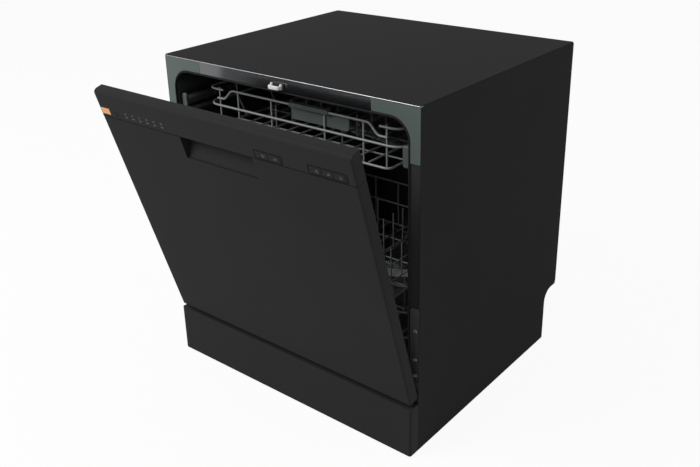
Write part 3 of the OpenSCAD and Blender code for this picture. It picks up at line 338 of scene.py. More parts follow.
def circle(radius, sides):
    """Points of a circle, anticlockwise."""
    a = np.arange(sides) * 2 * math.pi / sides
    return radius * np.stack([np.cos(a), np.sin(a)], -1)


def swept(shape, path, section, up, closed=False):
    """A section carried along a flat path. At each point the section's first number is measured
    across the path, along up x tangent, and its second along up."""
    path, up = np.asarray(path, float), np.asarray(up, float)
    ahead = np.roll(path, -1, 0) - path if closed else np.gradient(path, axis=0)
    if closed:
        ahead = ahead / np.linalg.norm(ahead, axis=1)[:, None]
        ahead = ahead + np.roll(ahead, 1, 0)
    ahead = ahead / np.linalg.norm(ahead, axis=1)[:, None]
    across = np.cross(up, ahead)
    rings = path[:, None] + section[None, :, :1] * across[:, None] + section[None, :, 1:] * up
    shape.skin(rings, closed=closed)


def rounded(x0, z0, x1, z1, radius, steps=8):
    """A rectangle with round corners, anticlockwise, as pairs."""
    a = np.linspace(0, math.pi / 2, steps + 1)
    arc = radius * np.stack([np.cos(a), np.sin(a)], -1)
    turns = [(x1 - radius, z1 - radius, 0), (x0 + radius, z1 - radius, 1),
             (x0 + radius, z0 + radius, 2), (x1 - radius, z0 + radius, 3)]
    parts = []
    for cx, cz, quarter in turns:
        c, s = round(math.cos(quarter * math.pi / 2)), round(math.sin(quarter * math.pi / 2))
        parts.append(arc @ np.array([[c, s], [-s, c]]) + (cx, cz))
    return np.concatenate(parts)


def bent(corners, radius, steps=6):
    """A line through corners, each turned by a parabola that starts and ends radius from it:
    p(t) = (1-t)^2 a + 2t(1-t) b + t^2 c."""
    corners = np.asarray(corners, float)
    t = np.linspace(0, 1, steps + 1)[:, None]
    line = [corners[:1]]
    for a, b, c in zip(corners[:-2], corners[1:-1], corners[2:]):
        start = b + (a - b) * radius / np.linalg.norm(a - b)
        end = b + (c - b) * radius / np.linalg.norm(c - b)
        line.append((1 - t) ** 2 * start + 2 * t * (1 - t) * b + t ** 2 * end)
    return np.concatenate(line + [corners[-1:]])


top_low, top_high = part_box("top_panel")
half_w, flange_y, back_y, top_z = top_high[0], top_low[1], top_high[1], top_low[2]
sheet = 1.2 * mm
inner_x = half_w - sheet
black_paint = painted("black_paint", (0.0225, 0.0225, 0.0231), 0.58, gloss=0.006, grain=0.00003,
                      grain_size=0.0009, cloud=0.1)
for panel in ("top_panel", "left_side_panel", "right_side_panel"):
    eased(panel, 0.0005 if panel == "top_panel" else 0.0004, "black_paint", black_paint)

# The bright bead is a painted highlight along the top's front edge.
bead = Shape()
bead_x, bead_front, bead_z = half_w - 0.6 * mm, flange_y - 0.3 * mm, top_z + 0.1 * mm
bead_line = bent([(-bead_x, flange_y + 6 * mm, bead_z), (-bead_x, bead_front, bead_z),
                  (bead_x, bead_front, bead_z), (bead_x, flange_y + 6 * mm, bead_z)], 3 * mm)
swept(bead, bead_line, circle(1, 10) * (0.55 * mm, 0.7 * mm), (0, 0, 1))
edge_highlight_metal = brushed("edge_highlight_metal", (0.3, 0.305, 0.31), 0.34, along=(2, 30, 30))
fitted(bead.made("top_edge_highlight_bead"), body_of("top_panel"), "stainless", edge_highlight_metal)


# ---------------------------------------------------------------- back panel
# One bent sheet in the same coat: the back, with a pressed field and three stiffening ribs, the
# roof of the hose recess and the wall behind it. Screws sit in dimples round the edge.

recess_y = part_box("base_tray")[1][1] + sheet
recess_h, recess_r = 106 * mm, 25 * mm
panel_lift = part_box("back_panel")[0][2]
bend_r = 2 * mm
field_inset, screw_inset = 34 * mm, 14 * mm
field_x, field_z = half_w - field_inset, (recess_h + field_inset, top_z - field_inset)
rib_x = np.array([-0.5, 0, 0.5]) * field_x
screw_x = np.linspace(-1, 1, 5) * (half_w - screw_inset)
back_screws = [(x, z) for z in (recess_h + screw_inset, top_z - 13 * mm) for x in screw_x]
back_screws += [(s * (half_w - screw_inset), z) for s in (-1, 1) for z in (270 * mm, 430 * mm)]


def ease(t):
    """Smoothstep: 0 below 0, 1 above 1, 3t^2 - 2t^3 between."""
    t = np.clip(t, 0, 1)
    return t * t * (3 - 2 * t)


def pressing(x, z):
    """How deep the sheet is pressed at x, z: the field, less its ribs, plus the screws' dimples."""
    inside = np.minimum(field_x - abs(x), np.minimum(z - field_z[0], field_z[1] - z))
    ribs = np.max([1 - ease((abs(x - r) - 7 * mm) / (8 * mm)) for r in rib_x], axis=0)
    ribs = ribs * ease((inside - 22 * mm) / (10 * mm))
    depth = 2.4 * mm * ease(inside / (10 * mm)) * (1 - 0.85 * ribs)
    for sx, sz in back_screws:
        depth = np.maximum(depth, 1.9 * mm * (1 - ease((np.hypot(x - sx, z - sz) - 5 * mm) / (4 * mm))))
    return depth


corner = np.linspace(0, math.pi / 2, 6)
arc = np.linspace(math.pi / 2, math.pi, 10)
down = np.linspace(top_z, recess_h + bend_r, 128)
profile = np.concatenate([
    np.stack([np.full_like(down, back_y), down], -1),
    np.stack([back_y - bend_r + bend_r * np.cos(corner), recess_h + bend_r - bend_r * np.sin(corner)],
             -1)[1:],
    np.stack([recess_y + recess_r + recess_r * np.cos(arc), recess_h - recess_r
              + recess_r * np.sin(arc)], -1),
    [[recess_y, panel_lift]]])
share = np.linspace(-1, 1, 128)
profile_y, profile_z = profile[:, :1], profile[:, 1:]
narrow = np.where(profile_z > recess_h + bend_r, half_w, inner_x)
sheet_x = narrow * share
sheet_z = np.broadcast_to(profile_z, sheet_x.shape)
sheet_y = np.where(profile_z >= recess_h + bend_r, profile_y - pressing(sheet_x, sheet_z), profile_y)
back = Shape()
back.skin(np.stack([sheet_x, sheet_y, sheet_z], -1), around=False)
back_piece = back.made("back_sheet", 50)
thickness = back_piece.modifiers.new("sheet", "SOLIDIFY")
thickness.thickness, thickness.offset = sheet, -1
fitted(back_piece, body_of("back_panel"), "black_paint", black_paint, "back_panel")


def screw_heads(shape, places, out, radius, height):
    """Pan heads with a cross recess. Over the head's disc, of radius 1, the height is
    sqrt(1 - 0.8 r^2) less a cross of two bars that ends at r = 0.6."""
    out = np.asarray(out, float)
    across = np.cross(out, (1, 0, 0)) if abs(out[0]) < 0.9 else np.cross(out, (0, 1, 0))
    across = across / np.linalg.norm(across)
    beside = np.cross(out, across)
    r = np.array([0.02, 0.12, 0.2, 0.34, 0.5, 0.58, 0.66, 0.8, 0.92, 1.0])[:, None]
    a = (np.arange(40) * 2 * math.pi / 40)[None]
    u, v = r * np.cos(a), r * np.sin(a)
    cross = (1 - ease((np.minimum(abs(u), abs(v)) - 0.1) / 0.06)) * (1 - ease((r - 0.52) / 0.1))
    lift = np.sqrt(1 - 0.8 * r ** 2) - 0.55 * cross
    lift = np.concatenate([lift, np.zeros_like(a)])
    u, v = np.concatenate([u, u[-1:]]), np.concatenate([v, v[-1:]])
    rings = radius * (u[..., None] * across + v[..., None] * beside) + height * lift[..., None] * out
    for place in places:
        shape.skin(rings[::-1] + np.asarray(place))


back_heads = Shape()
screw_heads(back_heads, [(x, back_y - 1.85 * mm, z) for x, z in back_screws], (0, 1, 0), 3.4 * mm,
            1.6 * mm)
zinc_steel = brushed("zinc_steel", (0.27, 0.27, 0.265), 0.42, along=(8, 8, 8))
dark_screw = brushed("dark_screw", (0.05, 0.05, 0.052), 0.4, along=(8, 8, 8))
fitted(back_heads.made("back_screws"), body_of("back_panel"), "zinc_steel", dark_screw)


# ---------------------------------------------------------------- plinth
# A moulded skirt below the door, clipped to the base tray, in the same black with a finer grain.

black_plastic = painted("black_plastic", (0.0225, 0.0225, 0.0231), 0.52, gloss=0.022, grain=0.00002,
                        grain_size=0.0007, cloud=0.08)
eased("plinth", 0.0008, "black_plastic", black_plastic)


# ---------------------------------------------------------------- front frame and its trims
# A painted steel frame round the mouth of the tub, with a polished strip above the opening and
# grey-green moulded corners, and a white plastic striker for the door's latch.

frame_paint = painted("frame_paint", (0.027, 0.027, 0.028), 0.45, gloss=0.15, grain=0.00001)
strip_skin = brushed("strip_skin", (0.155, 0.16, 0.165), 0.14, along=(1, 60, 60), scratch=0.000004)
trim_plastic = painted("trim_plastic", (0.08, 0.102, 0.095), 0.42, gloss=0.35, grain=0.00001)
white_plastic = painted("white_plastic", (0.7, 0.7, 0.68), 0.38, grain=0.00001, cloud=0.03)
eased("front_frame", 0.0, "frame_paint", frame_paint)
eased("top_trim_strip", 0.0004, "black_plastic", strip_skin)
eased("corner_trims", 0.0005, "trim_plastic", trim_plastic)

low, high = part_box("latch_striker")
plate = Shape()
outline = rounded(low[0], low[2], high[0], high[2], 2 * mm, 6)
plate.skin(np.array([np.c_[outline[:, 0], np.full(len(outline), y), outline[:, 1]]
                     for y in (high[1], high[1] - 2 * mm)]))
fitted(softened(plate.made("striker_plate"), 0.0003), body_of("latch_striker"), "frame_paint",
       frame_paint)
loop = Shape()
bar_inset, bar_h, bar_t = 5 * mm, 6 * mm, 4 * mm
bar_z, bar_y = low[2] + bar_inset, low[1] + bar_t / 2
bar_x = (low[0] + bar_inset, high[0] - bar_inset)
swept(loop, bent([(bar_x[0], high[1] - 1 * mm, bar_z), (bar_x[0], bar_y, bar_z),
                  (bar_x[1], bar_y, bar_z), (bar_x[1], high[1] - 1 * mm, bar_z)], 2.4 * mm, 5),
      rounded(-bar_t / 2, -bar_h / 2, bar_t / 2, bar_h / 2, 0.8 * mm, 3), (0, 0, 1))
for x in bar_x:
    ear = rounded(x - bar_t / 2, low[2] + 1 * mm, x + bar_t / 2, high[2] - 0.3 * mm, 1.4 * mm, 4)
    loop.skin(np.array([np.c_[ear[:, 0], np.full(len(ear), y), ear[:, 1]]
                        for y in (high[1] - 1.5 * mm, high[1] - 4.5 * mm)]))
fitted(loop.made("striker_loop"), body_of("latch_striker"), "white_plastic", white_plastic,
       "latch_striker")


# ---------------------------------------------------------------- tub
# A drawn stainless steel box with a brushed grain along its walls, a rubber seal in its mouth,
# and two folded steel rails for the upper rack with moulded end stops.

tub_low, tub_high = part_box("tub")
tub_half_w = tub_high[0] - sheet
tub_back = tub_high[1] - sheet
tub_floor, tub_ceiling = tub_low[2] + sheet, tub_high[2] - sheet
open_half_w, open_top = tub_half_w + 4 * mm, tub_ceiling + 4 * mm
opening_r = 36 * mm
near_wall = 33 * mm          # the walls' corner radius and a little more


def at_tub_back(place):
    """True on the joint between the tub's walls and its back."""
    off_walls = (abs(abs(place.x) - tub_half_w), abs(place.z - tub_floor), abs(place.z - tub_ceiling))
    return abs(place.y - tub_back) < 1e-4 and min(off_walls) < near_wall


stainless = brushed("stainless", (0.36, 0.36, 0.37), 0.28)
# The tub's walls and beads take a darker copy of the stainless: painted shade for the tub's dark inside.
shaded_tub_steel = brushed("shaded_tub_steel", (0.15, 0.15, 0.155), 0.38)
rubber = painted("rubber", (0.012, 0.012, 0.012), 0.72, gloss=0.12, grain=0.00002)
grey_plastic = painted("grey_plastic", (0.27, 0.28, 0.28), 0.45, grain=0.00001, cloud=0.04)
eased("tub", 0.0, "stainless", shaded_tub_steel, pressed=[(at_tub_back, 9 * mm)])
seal_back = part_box("door_seal")[1][1]
seal = Shape()
mouth = rounded(-open_half_w + 2 * mm, tub_floor - 2 * mm, open_half_w - 2 * mm, open_top - 2 * mm,
                opening_r - 2 * mm, 12)
lip = np.array([[-1.8, 0], [1.8, 0], [1.8, -1.4], [1.2, -2.6], [1.6, -3.6], [1.3, -4.6], [0.4, -5.1],
                [-0.6, -4.8], [-1.1, -3.8], [-0.9, -2.6], [-1.8, -1.4]]) * mm
mouth_line = np.stack([mouth[:, 0], np.full(len(mouth), seal_back), mouth[:, 1]], -1)
swept(seal, mouth_line, lip[::-1] * (1, 0.8), (0, 1, 0), closed=True)
fitted(seal.made("mouth_seal"), body_of("door_seal"), "rubber", rubber, "door_seal")
eased("rack_rails", 0.0003, "stainless", stainless)
cap_plastic = painted("cap_plastic", (0.07, 0.073, 0.072), 0.45, grain=0.00001, cloud=0.04)
eased("rail_end_caps", 0.0012, "grey_plastic", cap_plastic, steps=3)

# Pressed beads that stiffen the tub's side walls and ceiling.
beads = Shape()
hollow = np.array([[-7, 0], [7, 0], [5.5, 0.9], [3.5, 1.5], [0, 1.8], [-3.5, 1.5], [-5.5, 0.9]]) * mm
bead_y = np.linspace(-170 * mm, tub_back - 50 * mm, 12)
bead_sink = 0.05 * mm
for side in (-1, 1):
    for z in (tub_floor + 95 * mm, tub_floor + 175 * mm):
        line = [(side * (tub_half_w - bead_sink), y, z) for y in bead_y]
        swept(beads, line if side > 0 else line[::-1], hollow[::-1, ::-1], (0, 0, 1))
for x in (-120 * mm, 120 * mm):
    line = [(x, y, tub_ceiling - bead_sink) for y in bead_y[::-1]]
    swept(beads, line, hollow[::-1, ::-1], (1, 0, 0))
fitted(beads.made("tub_beads", 60), body_of("tub"), "stainless", shaded_tub_steel)


# ---------------------------------------------------------------- hinges
# Zinc-plated brackets screwed to the frame, the arms that carry the door, and the coil springs
# that hook the arms' levers to the base and balance the door.

eased("hinge_brackets", 0.0003, "zinc_steel", zinc_steel)
eased("hinge_arms", 0.0003, "zinc_steel", zinc_steel)
screw_low, screw_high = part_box("hinge_screws")
screw_r = 3.6 * mm
bracket_x = screw_high[0] - screw_r
bracket_screws = np.array([screw_low[2] + screw_r + d * mm for d in (0, 30, 82)])
heads = Shape()
places = [(s * bracket_x, flange_y, z) for s in (-1, 1) for z in bracket_screws]
screw_heads(heads, places, (0, -1, 0), screw_r, 1.25 * mm)
fitted(heads.made("hinge_screw_heads"), body_of("hinge_screws"), "zinc_steel", zinc_steel,
       "hinge_screws")

spring_low, spring_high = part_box("door_springs")
spring_wire, spring_r = 0.9 * mm, 6 * mm
spring_x = spring_high[0] - spring_r - spring_wire
spring_y = (spring_low[1] + spring_high[1]) / 2
spring_turns = 13
t = np.linspace(0, 1, spring_turns * 16 + 1)
hook = 5 * mm


def helix(x):
    """A close coil: x + r cos a, y + r sin a, z rising evenly, with a hook bent to each end, on
    which the wire turns in to the axis and stands along it."""
    a = t * spring_turns * 2 * math.pi
    coil = np.stack([x + spring_r * np.cos(a), spring_y + spring_r * np.sin(a),
                     spring_low[2] + spring_wire + hook
                     + t * (spring_high[2] - spring_low[2] - 2 * spring_wire - 2 * hook)], -1)
    lead = np.array([[x, spring_y, spring_low[2] + spring_wire],
                     [x, spring_y, spring_low[2] + spring_wire + 0.4 * hook],
                     [x + 0.6 * spring_r, spring_y, spring_low[2] + spring_wire + 0.85 * hook]])
    tail = lead[::-1] * (1, 1, -1) + (0, 0, spring_low[2] + spring_high[2])
    return np.concatenate([lead, coil, tail])


def wound(shape, path, radius, sides):
    """A round wire along any path. Each ring stands square to the path, on the axes that come
    from crossing the tangent with the direction to the coil's axis."""
    ahead = np.gradient(path, axis=0)
    ahead = ahead / np.linalg.norm(ahead, axis=1)[:, None]
    out = path - path.mean(0) * (1, 1, 0) - path * (0, 0, 1)
    out = out + (1e-5, 0, 0)
    second = np.cross(ahead, out)
    second = second / np.linalg.norm(second, axis=1)[:, None]
    first = np.cross(second, ahead)
    ring = circle(radius, sides)
    shape.skin(path[:, None] + ring[None, :, :1] * first[:, None] + ring[None, :, 1:] * second[:, None])


springs = Shape()
for x in (-spring_x, spring_x):
    wound(springs, helix(x), spring_wire, 8)
fitted(springs.made("coil_springs", 60), body_of("door_springs"), "zinc_steel", zinc_steel,
       "door_springs")


# ---------------------------------------------------------------- base
# A moulded tray with the sump, pumps, pipe, softener and the ports at its back, and rubber feet
# on threaded studs.

dark_plastic = painted("dark_plastic", (0.014, 0.014, 0.015), 0.6, gloss=0.1, grain=0.00003)
pump_plastic = painted("pump_plastic", (0.1, 0.1, 0.11), 0.5, grain=0.00002)


def meshed(name, colour, roughness, pitch):
    """A fine steel filter: rows of small dimples, sin(x) sin(y), pressed in at that pitch."""
    material = bpy.data.materials.new(name)
    finish = Finish(material)
    shader = finish.tree.nodes["Principled BSDF"]
    shader.inputs["Metallic"].default_value = 1.0
    place = finish.node("SeparateXYZ", Vector=finish.node("TexCoord", output=own_coordinates))
    across = Value(finish, place.socket.node.outputs[0])
    along = Value(finish, place.socket.node.outputs[1])
    waves = finish.maths("SINE", across * (2 * math.pi / pitch), 0.0) \
        * finish.maths("SINE", along * (2 * math.pi / pitch), 0.0)
    holes = waves.within(0.25, 0.5)
    tone = finish.node("Mix", {"data_type": "RGBA"}, output=2, i0=holes, i6=(*colour, 1),
                       i7=(*(c * 0.12 for c in colour), 1))
    finish.put(shader.inputs["Base Color"], tone)
    finish.put(shader.inputs["Roughness"], holes * 0.3 + roughness)
    bumps = finish.node("Bump", Strength=1.0, Distance=0.0003, Height=1 - holes)
    finish.put(shader.inputs["Normal"], bumps)
    return material


filter_steel = meshed("filter_steel", (0.45, 0.45, 0.45), 0.32, 3.2 * mm)
eased("base_tray", 0.0008, "dark_plastic", dark_plastic)
eased("sump", 0.0005, "grey_plastic", filter_steel)
for pump in ("wash_pump", "drain_pump"):
    eased(pump, 0.001, "pump_plastic", pump_plastic)
eased("wash_pipe", 0.001, "white_plastic", white_plastic)
eased("water_softener", 0.001, "white_plastic", white_plastic)
eased("inlet_valve", 0.0006, "white_plastic", white_plastic)
eased("drain_connector", 0.0005, "dark_plastic", dark_plastic)
eased("cable_gland", 0.0006, "rubber", rubber)
eased("filter_basket", 0.0003, "grey_plastic", grey_plastic)
eased("salt_cap", 0.0008, "white_plastic", white_plastic)


def turned(shape, place, axis, profile, sides=32, closed=False):
    """A profile turned about an axis through place. Each of its pairs is a distance along the
    axis and a radius; closed joins the last to the first, as round a bore."""
    axis = np.asarray(axis, float)
    across = np.cross(axis, (1, 0, 0)) if abs(axis[0]) < 0.9 else np.cross(axis, (0, 0, 1))
    across = across / np.linalg.norm(across)
    beside = np.cross(axis, across)
    profile = np.asarray(profile, float)
    ring = circle(1, sides)
    disc = ring[:, :1] * across + ring[:, 1:] * beside
    rings = np.asarray(place) + profile[:, None, :1] * axis + profile[:, None, 1:] * disc[None]
    shape.skin(rings, closed=closed)


foot_low, foot_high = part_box("front_left_foot")
foot_r, foot_pad = (foot_high[0] - foot_low[0]) / 2, 6.95 * mm
stud = foot_high[2] - foot_pad
half_pitch = 0.625 * mm
thread = [(foot_pad + 0.4 * mm + i * half_pitch, (4.0 if i % 2 else 3.5) * mm)
          for i in range(int((stud - 1.2 * mm) / half_pitch))]
pad = [(0, 0.4), (0, 9), (0.5, 9.6), (0.5, 11), (0, 11.6), (0, 14), (0.5, 15.4), (1.4, 16),
       (2.4, 16), (2.8, 15.5), (3.2, 15.5), (3.6, 16), (4.8, 16), (5.6, 15.6), (6.2, 14.4),
       (6.6, 10), (6.95, 7), (6.95, 4)]
drawn_pad_r = 16
pad = [(a * mm, b / drawn_pad_r * foot_r) for a, b in pad]
for foot in ("front_left_foot", "front_right_foot", "rear_left_foot", "rear_right_foot"):
    low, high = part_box(foot)
    shape = Shape()
    middle = ((low[0] + high[0]) / 2, (low[1] + high[1]) / 2, 0)
    turned(shape, middle, (0, 0, 1), pad + thread + [(foot_high[2], 2.6 * mm), (foot_high[2], 0.3 * mm)])
    fitted(shape.made(foot + "_pad"), body_of(foot), "rubber", rubber, foot)


# ---------------------------------------------------------------- spray arms
# Two moulded halves welded into a hollow blade that tapers to its tips, with a raised nozzle at
# each jet, free to turn on its post.


def blade(node, tip_width):
    """A blade along X turned to its node's rest angle. Its half width falls in a straight line
    from the hub to the tip's half circle; its section is |y/w|^2.6 + |z/h|^2.6 = 1."""
    low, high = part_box(node)
    middle = ((low[0] + high[0]) / 2, (low[1] + high[1]) / 2)
    height, wide = high[2] - low[2], 17 * mm
    points = np.array([v.co for v in nodes[node].data.vertices])
    away = points[:, :2] - middle
    reach = np.hypot(*away.T).max()
    far = away[np.hypot(*away.T) > reach - 1.5 * mm].copy()
    far[far[:, 0] < 0] *= -1
    angle = math.atan2(far[:, 1].mean(), far[:, 0].mean())
    tip = tip_width / 2
    u = np.concatenate([-(reach - tip) - tip * np.cos(np.linspace(0.06, math.pi / 2, 7)),
                        np.linspace(-(reach - tip), reach - tip, 41)[1:-1],
                        reach - tip + tip * np.sin(np.linspace(0, math.pi / 2 - 0.06, 7))])
    over = np.clip(abs(u) - (reach - tip), 0, tip)
    width = np.where(over > 0, np.sqrt(np.maximum(tip ** 2 - over ** 2, 1e-9)),
                     tip + (wide - tip) * (1 - abs(u) / (reach - tip)))
    half_thick, sides, power = height / 2 - 0.9 * mm, 28, 2 / 2.6
    thick = half_thick * (1 - 0.25 * abs(u) / reach) * np.sqrt(np.clip(width / tip, 0, 1))
    a = np.arange(sides) * 2 * math.pi / sides
    cy = np.sign(np.cos(a)) * abs(np.cos(a)) ** power
    cz = np.sign(np.sin(a)) * abs(np.sin(a)) ** power
    rings = np.stack([np.broadcast_to(u[:, None], (len(u), sides)), width[:, None] * cy,
                      height / 2 + thick[:, None] * cz], -1)
    shape = Shape()
    shape.skin(rings)
    hub = [(0, 7.2), (0, 16), (0.6, 18), (1.6, 19), (height / mm - 3, 19), (height / mm - 1.4, 17.4),
           (height / mm - 0.6, 14), (height / mm, 11), (height / mm, 7.2)]
    turned(shape, (0, 0, 0), (0, 0, 1), [(p * mm, r * mm) for p, r in hub], closed=True)
    for side in (-1, 1):
        for i in range(1, 5):           # four nozzles on each half, out of line by turns
            x, y = side * (30 * mm + i * (reach - 48 * mm) / 4.2), side * (i % 2) * 4 * mm
            skin_z = half_thick * (1 - 0.25 * abs(x) / reach) + height / 2
            turned(shape, (x, y, skin_z - 0.7 * mm), (0, 0, 1),
                   [(0, 3.4 * mm), (0.5 * mm, 3.3 * mm), (1.3 * mm, 2.4 * mm), (1.5 * mm, 1.9 * mm),
                    (1.5 * mm, 1.2 * mm), (0.7 * mm, 1.0 * mm)], sides=16)
    c, s = math.cos(angle), math.sin(angle)
    shape.points = [p @ np.array([[c, s, 0], [-s, c, 0], [0, 0, 1]]) + (*middle, low[2])
                    for p in shape.points]
    return shape.made(node + "_blade")


fitted(blade("lower_spray_arm", 24 * mm), body_of("lower_spray_arm"), "grey_plastic", grey_plastic,
       "lower_spray_arm")
fitted(blade("upper_spray_arm", 22 * mm), body_of("upper_spray_arm"), "grey_plastic", grey_plastic,
       "upper_spray_arm")


# ---------------------------------------------------------------- upper rack
# Welded steel wire dipped in grey nylon, which rounds the tips and fills the corners, with a
# moulded handle on its front wire and shoes that slide in the rails.

wire_r, thin_r, tine_r, brace_r = 2 * mm, 1.6 * mm, 1.4 * mm, 1.5 * mm
wire_sides = 10


def rods(shape, starts, ends, radius):
    """Straight wires with domed ends. Ring k of a wire stands at s from its end with radius
    sqrt(2 r s - s^2) up to s = r, so each end is half a ball."""
    starts, ends = np.asarray(starts, float), np.asarray(ends, float)
    along = ends - starts
    length = np.linalg.norm(along, axis=1)[:, None, None]
    axis = along / length[:, 0]
    side = np.where(abs(axis[:, :1]) < 0.9, np.array([[1.0, 0, 0]]), np.array([[0, 1.0, 0]]))
    across = np.cross(axis, side)
    across = across / np.linalg.norm(across, axis=1)[:, None]
    beside = np.cross(axis, across)
    dome = np.radians([20, 50, 90])
    step, wide = radius * (1 - np.cos(dome)), radius * np.sin(dome)
    near = np.broadcast_to(step, (len(starts), 3))[..., None]
    far = length - near[:, ::-1]
    station = np.concatenate([near, far], 1)
    size = np.concatenate([wide, wide[::-1]])[None, :, None, None]
    ring = circle(1, wire_sides)
    disc = ring[None, :, :1] * across[:, None] + ring[None, :, 1:] * beside[:, None]
    points = starts[:, None, None] + station[..., None] * axis[:, None, None] + size * disc[:, None]
    for wire in points:
        shape.skin(wire)


def hoop(shape, half, y0, y1, z, corner_r, radius):
    """A closed wire round a rack."""
    line = rounded(-half, y0, half, y1, corner_r, 7)
    swept(shape, np.c_[line, np.full(len(line), z)], circle(radius, 10), (0, 0, 1), closed=True)


rack_wire = painted("rack_wire", (0.225, 0.236, 0.23), 0.36, gloss=0.35, grain=0.00001)
low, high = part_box("upper_rack")
y0, y1, half, floor_z = low[1] + wire_r, high[1] - wire_r, high[0] - wire_r, low[2] + wire_r
mid_h, base_inset, tine_h = 38 * mm, 31 * mm, 41 * mm
top, mid, base = high[2] - 4 * mm, floor_z + mid_h, half - base_inset
span, inset, dip_z = y1 - y0, 2.6 * mm, top + 2 * mm
upper = Shape()
hoop(upper, base + 6 * mm, y0, y1, floor_z, 10 * mm, wire_r)
corner_r = 25 * mm
hoop(upper, half, y0, y1, mid, corner_r, wire_r)
w = half - 1.6 * mm
rim = bent([(base - 12 * mm, y0, top), (w, y0, top), (w, y1, top), (-w, y1, top), (-w, y0, top),
            (-base + 12 * mm, y0, top)], corner_r, 8)
swept(upper, rim, circle(wire_r, 10), (0, 0, 1))
low_z = dip_z - 18 * mm
dips = [(-base - 3 * mm, low_z), (-base + 15 * mm, low_z), (-base + 32 * mm, dip_z),
        (base - 32 * mm, dip_z), (base - 15 * mm, low_z), (base + 3 * mm, low_z)]
swept(upper, bent([(x, y0, z) for x, z in dips], 6 * mm), circle(wire_r, 10), (0, 1, 0))
posts = np.array([0.32, 0.7527, 1.0]) * base
front = [(s * x, z) for s in (-1, 1) for x, z in zip(posts, (dip_z, dip_z, top + 4 * mm))]
rods(upper, [(x, y0 + inset, floor_z) for x, z in front], [(x, y0 + inset, z) for x, z in front], thin_r)
rear = (-posts[1], 0, posts[1])
rods(upper, [(x, y1 - inset, floor_z) for x in rear], [(x, y1 - inset, top) for x in rear], thin_r)
side_y = y0 + np.array([0.2077, 0.4451, 0.6825, 0.8605]) * span
sides = [(s, y) for s in (-1, 1) for y in side_y]
rods(upper, [(s * (half - inset), y, mid - 1 * mm) for s, y in sides],
     [(s * (half - inset), y, top) for s, y in sides], thin_r)
rods(upper, [(s * (base + 6 * mm), y, floor_z) for s, y in sides],
     [(s * (half - inset), y, mid) for s, y in sides], brace_r)
pitch = (base - 2 * wire_r) / 6
long_z = floor_z + 3 * mm
rods(upper, [(i * pitch, y0, long_z) for i in range(-5, 6)],
     [(i * pitch, y1, long_z) for i in range(-5, 6)], thin_r)
bars = y0 + np.array([0.1424, 0.365, 0.632, 0.8546]) * span
rods(upper, [(-base - 6 * mm, y, floor_z) for y in bars], [(base + 6 * mm, y, floor_z) for y in bars],
     thin_r)
tine_y = y0 + (0.1335 + 0.1187 * np.arange(7)) * span
tines = [(i * pitch, y) for i in (-3, 2) for y in tine_y]
rods(upper, [(x, y, long_z) for x, y in tines], [(x, y, long_z + tine_h) for x, y in tines], tine_r)
fitted(upper.made("upper_rack_wires", 60), body_of("upper_rack"), "rack_wire", rack_wire, "upper_rack")
# The handle takes a slightly darker copy of the trims' grey-green plastic: painted shade for its place
# under the top.
shaded_handle_plastic = painted("shaded_handle_plastic", (0.08, 0.096, 0.09), 0.45, gloss=0.3, grain=0.00001)
eased("upper_rack_handle", 0.0006, "trim_plastic", shaded_handle_plastic)
eased("rack_shoes", 0.0006, "grey_plastic", grey_plastic)
eased("upper_feed_pipe", 0.0006, "grey_plastic", grey_plastic)


# ---------------------------------------------------------------- lower rack
# The same dipped wire, with a row of tines that folds flat in moulded clips, wheels with a
# grooved tread on steel axles, and a moulded basket for cutlery.

low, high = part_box("lower_rack")
wheel_low, wheel_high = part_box("front_wheels")
y0, y1, half = low[1] + wire_r, high[1] - wire_r, high[0] - wire_r
top = high[2] - wire_r
side_h, mid_h, tine_h = 97 * mm, 48 * mm, 69 * mm
floor_z = top - side_h
mid = floor_z + mid_h
span = y1 - y0
lower = Shape()
for z in (floor_z, mid, top):
    hoop(lower, half, y0, y1, z, corner_r, wire_r)
pitch = (half - wire_r) / 5.5
long_z = floor_z + 3 * mm
walls = [(i * 1.5 * pitch, y) for i in range(-3, 4) for y in (y0 + inset, y1 - inset)]
walls += [(s * (half - inset), y0 + i * span / 6) for s in (-1, 1) for i in range(1, 6)]
rods(lower, [(x, y, floor_z) for x, y in walls], [(x, y, top) for x, y in walls], thin_r)
rods(lower, [(i * pitch, y0, long_z) for i in range(-5, 6)],
     [(i * pitch, y1, long_z) for i in range(-5, 6)], thin_r)
wheel_y = [(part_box(w)[0][1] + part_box(w)[1][1]) / 2 for w in ("front_wheels", "rear_wheels")]
bars = [wheel_y[0], y0 + 0.4167 * span, y0 + 0.625 * span, wheel_y[1]]
rods(lower, [(-half, y, floor_z) for y in bars], [(half, y, floor_z) for y in bars], thin_r)
tine_y = y0 + (0.1111 + 0.09444 * np.arange(9)) * span
tines = [(i * pitch, y) for i in (-2, 2, 4) for y in tine_y]
rods(lower, [(x, y, long_z) for x, y in tines], [(x, y, long_z + tine_h) for x, y in tines], tine_r)
rod_r = 1.8 * mm
rod_z = long_z + thin_r + rod_r + 2 * mm
strap = bent([(-4.2 * mm, 0, 3.4 * mm), (-4.2 * mm, 0, -2.6 * mm), (4.2 * mm, 0, -2.6 * mm),
              (4.2 * mm, 0, 3.4 * mm)], 2.4 * mm, 5)
band = rounded(-0.6 * mm, -4 * mm, 0.6 * mm, 4 * mm, 0.4 * mm, 2)
clip_y = y0 + np.array([0.1389, 0.5, 0.8611]) * span
for y in clip_y:
    swept(lower, strap + (0, y, rod_z), band, (0, 1, 0))
wheel_x, wheel_z = wheel_high[0] - 11 * mm, (wheel_low[2] + wheel_high[2]) / 2
wheel_r = (wheel_high[2] - wheel_low[2]) / 2
